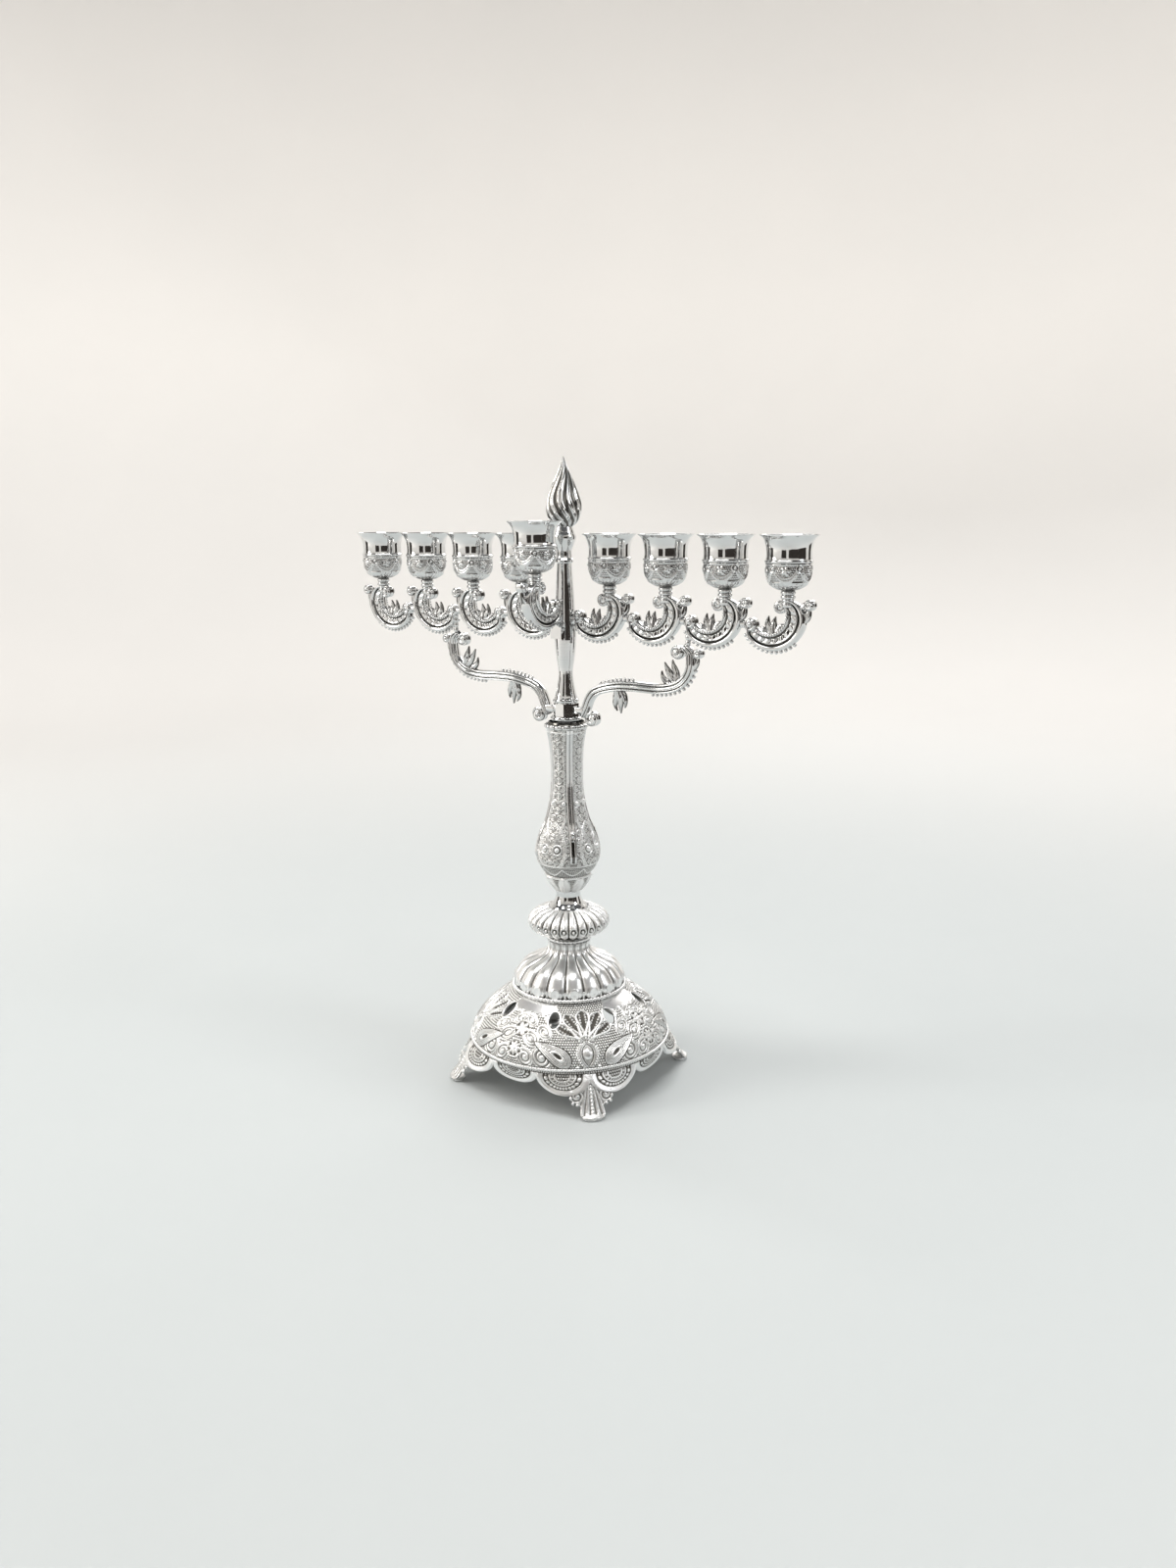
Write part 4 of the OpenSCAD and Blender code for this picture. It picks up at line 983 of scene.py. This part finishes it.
def volute(shape, cu, cv, radius, hand, start):
    """A curled end: a round button whose faces carry a coiled groove round an eye."""
    thick, turns = 3.5, 1.6
    rho = np.concatenate([np.linspace(0, 0.88, 15), [0.93, 0.97, 1.0]]) * radius
    theta = np.arange(40) / 40 * TURN
    rr, tt = np.meshgrid(rho, theta, indexing="ij")
    pitch = radius / turns
    step = (rr / pitch - hand * tt / TURN - start) % 1
    groove = np.minimum(step, 1 - step)
    rounded = np.sqrt(np.clip(1 - (rr / radius) ** 7, 0.02, 1))
    high = thick * (0.74 + 0.34 * smooth(groove, 0.03, 0.30)) * rounded
    high = np.maximum(high, thick * 0.72 + dome(rr, 0.30 * radius, 0.5 * thick))
    high[-1] = 0.35 * thick
    # painted shade: the coiled groove is painted dark and the eye left bright
    unshaded_share = np.maximum(smooth(groove, 0.03, 0.16), rr < 0.3 * radius)
    for side in (-1, 1):
        points = np.stack([cu + rr * np.cos(tt), side * high, cv + rr * np.sin(tt)], -1)
        shape.grid(points, around=True, relief=unshaded_share, flip=side > 0)
    edge = np.stack([np.stack([cu + radius * np.cos(theta), y + 0 * theta, cv + radius * np.sin(theta)], -1)
                     for y in (-0.35 * thick, 0.35 * thick)])
    shape.grid(edge, around=True)


def blade(shape, line, width, thick, vein, wave=0.0):
    """One leaf blade in the arm's plane, with a raised midrib and rolled edges."""
    line = respace(spline(line, 8), 0.45)
    t = run_along(line) / run_along(line)[-1]
    way = unit(np.gradient(line, axis=0))
    across = np.stack([-way[:, 1], way[:, 0]], 1)
    half = width * np.sin(math.pi * np.clip(t, 0, 1) ** 0.8) ** 0.7 * (1 - 0.5 * t ** 3) + 0.25
    half[-1] = 0.15
    w = np.linspace(-1, 1, 15)
    body = np.sqrt(np.clip(1 - w ** 2, 0.02, 1))[None]
    rib = ridge(w, 0.2, vein)[None]
    cup = 0.25 * np.abs(w)[None]
    fade = (1 - 0.65 * t)[:, None]
    high = (thick * 0.62 * body + rib + cup + wave * np.sin(t * 22)[:, None] * np.abs(w)[None]) * fade
    slab(shape, line, across, half, high)


def scroll(shape, tail_end, tail_curl, tail_r):
    """A C-scroll in the arm's plane: a hollow-faced band between two curls, with bead
    rows along its edges, an ear, and a three-bladed leaf inside."""
    phi = np.linspace(tail_end, 38.0, 120)
    outer = np.where(phi < -14.1, reach_to(SCROLL_C, SCROLL_R, phi), reach_to(SHOULDER_C, SHOULDER_R, phi))
    taper = 0.55 + 0.45 * smooth(phi, tail_end - 2, tail_end + 26)
    outer = EYE_R + (outer - EYE_R) * taper
    inner = polar(EYE_C, EYE_R, phi)
    away = unit(polar(np.zeros(2), 1.0, phi))
    half = (outer - EYE_R) / 2
    middle = inner + away * half[:, None]
    w = np.linspace(0, 1, 65)
    run = np.radians(phi - phi[0])[:, None] * 17.0
    rail = dome(np.clip(w - 0.10, -0.1, 0.1), 0.105, 1.0)[None]
    engraved = np.sin(run * 1.25 + 7 * w[None]) * smooth(w, 0.26, 0.34)[None]
    engraved = engraved * (1 - smooth(w, 0.48, 0.55))[None]
    band = 1.25 * np.sqrt(np.clip(1 - ((w - 0.85) / 0.155) ** 2, 0, 1))[None]
    grooves = (ridge(w - 0.235, 0.05, 1.0) + ridge(w - 0.66, 0.055, 1.3))[None]
    high = 2.35 + rail + 0.3 * engraved + 0.5 * ridge(w - 0.59, 0.05, 1.0)[None] + band - grooves
    high = high * np.clip(np.sqrt(np.clip(1 - (2 * w - 1) ** 14, 0, 1)), 0.3, 1)[None]
    fade = smooth(phi, tail_end - 0.1, tail_end + 4)[:, None] * (1 - smooth(phi, 35, 38.1))[:, None]
    high = high * (0.35 + 0.65 * fade)
    # painted shade: the grooves and engraved troughs are painted dark
    unshaded_share = np.clip(1 - 1.25 * grooves - 0.95 * np.clip(-engraved - 0.1, 0, 1), 0, 1)
    slab(shape, middle, away, half, high, unshaded_share)

    beads = np.arange(max(tail_end + 10, -142), -40, 8.0)
    reach = np.where(beads < -14.1, reach_to(SCROLL_C, SCROLL_R, beads), 0) + 0.7
    edge = EYE_C + away_at(beads) * reach[:, None]
    shape.beads(np.column_stack([edge[:, 0], 0 * beads, edge[:, 1]]), 1.25)
    for y in (-3.3, 3.3):
        beads = np.arange(-128, 4, 8.2)
        spot = EYE_C + away_at(beads) * (EYE_R + 1.2)
        shape.beads(np.column_stack([spot[:, 0], y + 0 * beads, spot[:, 1]]), 0.9)

    volute(shape, -4.2, -4.7, 4.4, 1, 0.1)
    volute(shape, tail_curl[0], tail_curl[1], tail_r, -1, 0.55)
    volute(shape, 15.4, -3.4, 3.6, -1, 0.2)
    # the ear's stalk and the leaf behind it
    blade(shape, [(11.8, -14.5), (13.6, -9.6), (14.2, -6.6), (13.6, -3.2)], 2.5, 3.4, 0.4)
    blade(shape, [(9.4, -6.5), (11.5, -3.4), (13.6, -1.6)], 1.8, 3.0, 0.5)
    # the leaf that stands on the band's inside
    for blade_line, width in (([(-9.6, -24.5), (-11.6, -20.0), (-13.4, -15.4), (-12.8, -10.8)], 2.5),
                              ([(-8.6, -24.0), (-9.3, -18.5), (-8.9, -14.4), (-8.0, -11.0)], 2.4),
                              ([(-7.6, -23.6), (-6.2, -20.0), (-4.8, -17.2), (-2.6, -15.6)], 2.1),
                              ([(-10.6, -24.2), (-14.6, -21.4), (-16.6, -18.6), (-18.6, -17.6)], 1.9)):
        blade(shape, blade_line, width, 3.4, 0.9, 0.12)
    seat = [(0.2, -5.2), (4.0, -5.0), (4.25, -3.6), (4.3, -2.6), (3.4, -1.9), (3.9, -1.2), (4.1, -0.5),
            (3.6, 0.0), (1.6, 0.0)]
    turned(shape, seat, 40, None, 0, 0.35)


def away_at(degrees):
    return polar(np.zeros(2), 1.0, degrees)


def mirrored(shape, side):
    """The shape itself for side 1, its mirror image across the middle for side -1."""
    return shape.moved(lambda p: p * np.array([side, 1, 1]))


def make_row_arms():
    flat_x = SCROLL_C[0] + math.sqrt(SCROLL_R ** 2 - (-16.7 - SCROLL_C[1]) ** 2) - 0.4
    plain = Shape()
    scroll(plain, -155.0, (-24.8, -16.7), 4.5)
    for k in range(4):
        whole = plain.moved(lambda p: p)
        if k == 0:
            end = -FIRST_CUP + 7.4
            line = [(end, 0, -20.4), (-24.8, 0, -17.6)]
            rod(whole, line, 2.9, (0, 1, 0), 24)
        else:
            rod(whole, [(flat_x + 0.1 - CUP_PITCH, 0, -16.7), (-26.0, 0, -16.7)], 2.5, (0, 1, 0), 24)
        x = FIRST_CUP + k * CUP_PITCH
        for side, word in ((1, "right"), (-1, "left")):
            name = "arm_%s_%d" % (word, k + 1)
            mesh = mirrored(whole, side).mesh("scroll_" + name, [CHASED])
            place = Matrix.Translation((side * x * MM, 0, SEAT_Z * MM))
            finish_piece("scroll_" + name, mesh, "frame", [name], place)


def make_servant_arm():
    """The servant's scroll, turned to the front, with a shoulder and a flat tang that
    drops into the bracket."""
    flat = Shape()
    scroll(flat, -148.0, (-23.2, -16.7), 3.4)
    seat = np.array([0, SERVANT_Y, SERVANT_SEAT_Z])
    whole = flat.moved(lambda p: np.stack([p[:, 1], -p[:, 0], p[:, 2]], 1) + seat)
    post(whole, (-3.4, -11.6, 337.1), (3.4, -8.25, 350.4), 0.6)
    post(whole, (-3.2, -14.5, 347.2), (3.2, -8.25, 352.9), 0.8)
    post(whole, (-2.3, -9.4, 328.0), (2.3, -6.8, 338.5), 0.3)
    finish_piece("servant_scroll_arm", whole.mesh("servant_scroll_arm", [CHASED]), "servant",
                 ["servant_arm"])


S_LINE = [(14.5, 270.4), (17.3, 276.5), (21.5, 285.6), (28.5, 290.9), (43.7, 294.5), (59, 295.1), (77.3, 294.9),
          (90.15, 297.5), (97.65, 303.1), (101.25, 310.1), (101.05, 320), (96.05, 325)]


def make_s_arms():
    """Reeded S-shaped arms with bead rows, curls at both ends and leaves."""
    line = respace(spline(S_LINE, 8), 0.8)
    t = run_along(line) / run_along(line)[-1]
    way = unit(np.gradient(line, axis=0))
    across = np.stack([-way[:, 1], way[:, 0]], 1)
    half = 3.7 * (0.86 + 0.14 * np.sin(math.pi * t)) * (0.8 + 0.2 * smooth(t, 0, 0.06))
    half = half * (1 - 0.35 * smooth(t, 0.94, 1))
    w = np.linspace(-1, 1, 41)
    body = 3.3 * np.sqrt(np.clip(1 - np.abs(w) ** 5, 0.03, 1))
    grooves = 1.1 * (ridge(w + 0.42, 0.12, 1) + ridge(w - 0.42, 0.12, 1))
    swell = 0.35 * (ridge(w + 0.75, 0.16, 1) + ridge(w - 0.75, 0.16, 1) + ridge(w, 0.22, 1.6))
    ends = np.clip(0.4 + 3 * np.minimum(t, 1 - t) / 0.05, 0.4, 1)
    high = np.broadcast_to(body - grooves + swell, (len(line), len(w))) * ends[:, None]
    arm = Shape()
    # painted shade in the reeding grooves of the S-arm
    slab(arm, line, across, half, high, 1 - 1.3 * np.clip(grooves - 0.15, 0, 0.77)[None] + 0 * high)
    volute(arm, 23.0, 270.0, 5.4, -1, 0.2)
    volute(arm, 91.65, 320.5, 4.8, 1, 0.6)
    volute(arm, 107.25, 320.3, 3.3, -1, 0.0)
    blade(arm, [(100.2, 308), (104.6, 312.6), (106.4, 316.4), (106.2, 319.5)], 2.2, 3.4, 0.4)
    # bead rows on the outside of each bend
    for low, high_x, side in ((30, 58, 1), (72, 101.5, -1)):
        rows = np.where((line[:, 0] > low) & (line[:, 0] < high_x) & (line[:, 1] < 312))[0][::4]
        for row in rows:
            spot = line[row] + across[row] * side * (half[row] + 0.8)
            arm.beads([[spot[0], 0, spot[1]]], 1.2)
    # leaf that hangs under the first bend
    for blade_line, width in (([(43.0, 292.5), (42.2, 286.0), (41.6, 281.0), (43.4, 277.2)], 2.3),
                              ([(45.0, 292.6), (46.0, 285.0), (46.2, 279.6), (46.4, 275.6)], 2.5),
                              ([(47.0, 292.6), (49.4, 286.8), (50.2, 282.6), (49.6, 279.6)], 2.0)):
        blade(arm, blade_line, width, 3.2, 0.9, 0.15)
    # leaf that rises inside the second bend
    for blade_line, width in (([(90.5, 299.0), (86.0, 304.6), (83.0, 309.4), (81.2, 313.4)], 2.5),
                              ([(92.0, 301.0), (89.8, 307.0), (88.0, 311.6), (87.2, 315.4)], 2.3),
                              ([(87.5, 297.6), (82.4, 300.4), (79.6, 303.6), (79.0, 307.4)], 2.1)):
        blade(arm, blade_line, width, 3.2, 0.9, 0.15)
    post(arm, (8.7, -3.4, 272.6), (16.6, 3.4, 277.4), 0.5)
    for side, word in ((1, "right"), (-1, "left")):
        mesh = mirrored(arm, side).mesh("s_scroll_" + word, [CHASED])
        finish_piece("s_scroll_" + word, mesh, "frame", ["s_arm_" + word])
    twig = Shape()
    for side in (1, -1):
        z = np.linspace(318.5, 339.0, 60)
        bulge = 1.55 + 0.35 * np.abs(np.sin((z - 318.5) * 0.9))
        rod(twig, np.stack([99.0 * side + 0 * z, 0 * z, z], 1), bulge, (1, 0, 0), 16)
    finish_piece("row_struts", twig.mesh("row_struts", [CHASED]), "frame", ["s_arm_links"])


# ---------------------------------------------------------------- candle cups

CUP_WAIST, BOWL_H, COLLAR_H = 14.2, 17.2, 5.5


def cup_relief(a, s, r, z):
    """A bowl of filigree: swags hung from knots, a leaf in each, and a milled ring above."""
    count = 5
    x, half = across_lobe(a, CUP_WAIST, count)
    u = x * half
    low = z < BOWL_H
    h = 0.02 + pebbled(a * CUP_WAIST, s, 1.4, 0.3)
    hang = z - 6.2 - 7.6 * (x * x)
    for off, high in ((0.0, 1.0), (-1.5, 0.75), (1.6, 0.8)):
        h = np.maximum(h, ridge(hang - off, 0.42, high))
    h = np.maximum(h, dotted(u * 1.25, hang + 0.75, 1.3, 0.5, 0.9))
    bloom = flower(u, z, 0, 12.4, 3.0, 5)
    h = np.where(np.hypot(u, z - 12.4) < 3.0, np.maximum(bloom, 0.05), h)
    knot = np.hypot(half - np.abs(u), z - 13.6)
    coil = ridge(knot - 2.4, 0.45, 0.9)
    h = np.where(knot < 3.0, np.maximum(coil, dome(knot, 1.1, 1.5)), h)
    h = np.where(z < 5.2, 0.25 + 0.5 * np.abs(np.cos(a * 12)), h)
    h = np.maximum(h, ridge(z - 5.2, 0.4, 0.8))
    h = np.maximum(h, ridge(z - 16.2, 0.45, 0.7))
    return np.where(low, h * 0.75 * smooth(z, 0.6, 4.5), 0.0)


def cup_mesh():
    outer = np.concatenate([
        spline([(4.6, 0), (7.95, 0.8), (11.36, 3.2), (13.35, 6.8), (14.35, 11.2), (14.5, 16.2)], 5),
        [(14.6, 17.2), (15.3, 17.6), (15.35, 18.4), (14.6, 19.0)],
        spline([(14.2, 20.6), (14.25, 24.4), (14.85, 28.0), (16.2, 31.4), (18.6, 33.9)], 6),
        [(18.95, 34.15), (18.8, 34.4)]])
    inner = np.concatenate([
        spline([(18.0, 34.4), (15.6, 32.2), (13.2, 27.8), (12.4, 23.4), (12.2, 21.5)], 4), [(12.2, 5.5)],
        [(11.9, 4.3), (11.0, 3.5), (9.9, 3.2), (0.05, 3.2)]])
    shape = Shape()

    # painted shade on the bowl's chasing, deepest in its ground; the flared top gets none
    def level(a, s, r, z, share):
        return np.where(z < BOWL_H, 0.06 + 1.3 * share, 1.0)

    dense = np.concatenate([respace(outer[:27], 0.3), respace(outer[27:], 0.6)])
    line = dense - np.where(dense[:, 1:] < 16.5, [[0.35, 0]], [[0, 0]])
    turned(shape, line, 360, cup_relief, 0, 0.32, None, level)
    turned(shape, inner[::-1], 96, None, 0, 0.7)
    shape.grid(rings(((18.8, 34.4), (18.4, 34.52), (18.0, 34.4)), 96), around=True)
    shape.grid(rings(((1.6, 0.02), (4.6, 0.02)), 48), around=True)
    return shape.mesh("candle_cup", [CHASED])


def make_cups():
    mesh = cup_mesh()

    def seat(x, y, z, quarters):
        """Where a cup stands and how many quarter turns it is turned by."""
        return Matrix.Translation((x, y, z)) @ Matrix.Rotation(quarters * TURN / 4, 4, "Z")

    for k in range(4):
        for side, word in ((1, "right"), (-1, "left")):
            x = side * (FIRST_CUP + k * CUP_PITCH) * MM
            name = "cup_%s_%d" % (word, k + 1)
            place = seat(x, 0, (SEAT_Z + COLLAR_H) * MM, RNG.integers(4))
            finish_piece("candle_" + name, mesh, "frame", [name], place)
    place = seat(0, SERVANT_Y * MM, (SERVANT_SEAT_Z + COLLAR_H) * MM, 1)
    finish_piece("servant_candle_cup", mesh, "servant", ["servant_cup"], place)


# ---------------------------------------------------------------- turned pieces kept as made

def finish_turned_pieces():
    """Gives the plain turned pieces and the hidden fastenings their metal."""
    for node in ("polished_spool", "hub_lower_ring", "arm_hub", "hub_upper_ring", "stem", "stem_flange",
                 "finial_socket", "cup_collars", "servant_collar", "servant_bracket"):
        wear(node, MIRROR)
    for node in ("foot_rivets", "finial_stud", "tie_rod", "tie_nut", "tie_washer", "s_arm_screws",
                 "stem_cross_pin", "arm_pins", "cup_studs", "servant_stud"):
        wear(node, STEEL)


def wear(node, metal):
    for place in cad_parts[node].material_slots:
        place.material = metal


# ---------------------------------------------------------------- room and light

def pale_room():
    """A floor that sweeps up into a pale wall all round, open at the top."""
    shape = Shape()
    line = spline([(1, 0), (600, 0), (1300, 0), (1900, 60), (2300, 420), (2450, 1100), (2500, 2400)], 12)
    turned(shape, line[::-1], 96, None, 0, 60)
    f = Finish("pale_paper")
    away = f.node("ShaderNodeVectorMath", {"operation": "LENGTH"}, {0: f.place()}, out=1)
    height = f.node("ShaderNodeSeparateXYZ", {}, {0: f.place()}, out=2)
    # painted light and shade: darker near the stand, lighter and warmer up the wall, with a faint random mottle
    painted_falloff_and_mottle = f.mix(away.between(0.3, 2.1), (0.505, 0.535, 0.54, 1), (0.865, 0.85, 0.83, 1))
    painted_falloff_and_mottle = f.mix(height.between(0.25, 0.95), painted_falloff_and_mottle, (0.99, 0.965, 0.935, 1))
    painted_falloff_and_mottle = f.mix(f.noise(3.0, 3.0).between(0.3, 0.7) * 0.06, painted_falloff_and_mottle, (0.66, 0.67, 0.66, 1))
    grain = f.bump(f.noise(500.0), 0.05, 0.0005)
    sockets = {"Base Color": painted_falloff_and_mottle, "Roughness": 0.75 + 0.1 * f.noise(40.0), "Normal": grain}
    f.node_output(f.node("ShaderNodeBsdfPrincipled", {}, sockets))
    room = bpy.data.objects.new("pale_room", shape.mesh("pale_room", [f.material]))
    bpy.context.scene.collection.objects.link(room)


def stand(name, data, place, aim):
    """Puts a lamp or a card in the room, turned towards a point."""
    made = bpy.data.objects.new(name, data)
    made.location = place
    made.rotation_euler = (Vector(aim) - Vector(place)).to_track_quat("-Z", "Y").to_euler()
    bpy.context.scene.collection.objects.link(made)
    return made


def panel_light(name, place, aim, wide, tall, watts, color=(1, 1, 1)):
    lamp = bpy.data.lights.new(name, "AREA")
    lamp.shape, lamp.size, lamp.size_y = "RECTANGLE", wide, tall
    lamp.energy, lamp.color = watts, color
    stand(name, lamp, place, aim)


def dark_card(name, place, aim, wide, tall):
    """A black card that only shows as a reflection in the bright metal."""
    f = Finish(name)
    sockets = {"Base Color": (0.020, 0.015, 0.012, 1), "Roughness": 0.9}
    f.node_output(f.node("ShaderNodeBsdfPrincipled", {}, sockets))
    mesh = bpy.data.meshes.new(name)
    x, y = wide / 2, tall / 2
    mesh.from_pydata([(-x, -y, 0), (x, -y, 0), (x, y, 0), (-x, y, 0)], [], [(0, 1, 2, 3)])
    mesh.materials.append(f.material)
    card = stand(name, mesh, place, aim)
    card.visible_camera = card.visible_diffuse = card.visible_shadow = False


def light_room():
    middle = (0, 0, 0.24)
    panel_light("top_softbox", (0.0, -0.1, 2.0), middle, 1.2, 1.2, 30, (1, 0.985, 0.96))
    panel_light("left_softbox", (-1.45, -1.05, 1.25), middle, 0.6, 1.3, 19, (1, 0.97, 0.93))
    panel_light("right_fill", (1.7, 0.2, 1.1), middle, 0.5, 1.2, 9, (0.94, 0.97, 1))
    panel_light("back_softbox", (-0.4, 1.7, 1.3), middle, 1.4, 0.7, 10)
    # dark cards on the viewer's side and at both edges of the view draw the metal's lines
    for name, degrees, away, level, wide, tall in (
            ("card_front_left", -84, 1.35, 0.45, 0.60, 0.80), ("card_front", -38, 1.36, 0.45, 1.15, 0.86),
            ("card_front_right", 5, 1.35, 0.45, 0.98, 0.86),
            ("card_left", -158, 1.3, 0.45, 0.45, 1.2), ("card_right", 52, 1.3, 0.45, 0.45, 1.2)):
        turn = math.radians(degrees)
        place = (away * math.cos(turn), away * math.sin(turn), level)
        dark_card(name, place, (0, 0, level), wide, tall)
    world = bpy.data.worlds.new("room_light")
    world.use_nodes = True
    sky = world.node_tree.nodes["Background"]
    sky.inputs["Color"].default_value = (0.97, 0.98, 1.0, 1)
    sky.inputs["Strength"].default_value = 0.14
    bpy.context.scene.world = world
    bpy.context.scene.view_settings.view_transform = "Standard"


def set_camera():
    """From the front right, a little above the cups."""
    ahead = Vector((-0.5416, 0.8129, -0.2142)).normalized()
    right = ahead.cross(Vector((0, 0, 1))).normalized()
    up = right.cross(ahead)
    roll = -0.0078
    across = right * math.cos(roll) + up * math.sin(roll)
    upward = up * math.cos(roll) - right * math.sin(roll)
    lens = bpy.data.cameras.new("camera")
    lens.lens, lens.sensor_width = 29.02, 36.0
    lens.shift_x, lens.shift_y = -0.0017, 0.0019
    camera = bpy.data.objects.new("camera", lens)
    camera.matrix_world = Matrix.Translation((0.5093, -0.7337, 0.4137)) @ Matrix(
        (across, upward, -ahead)).transposed().to_4x4()
    bpy.context.scene.collection.objects.link(camera)
    bpy.context.scene.camera = camera


make_dome()
make_skirt()
make_rims()
make_feet()
make_fluted_cap()
make_knop()
make_leaf_cup()
make_baluster()
make_flange()
make_flame()
make_row_arms()
make_servant_arm()
make_s_arms()
make_cups()
finish_turned_pieces()
pale_room()
light_room()
set_camera()
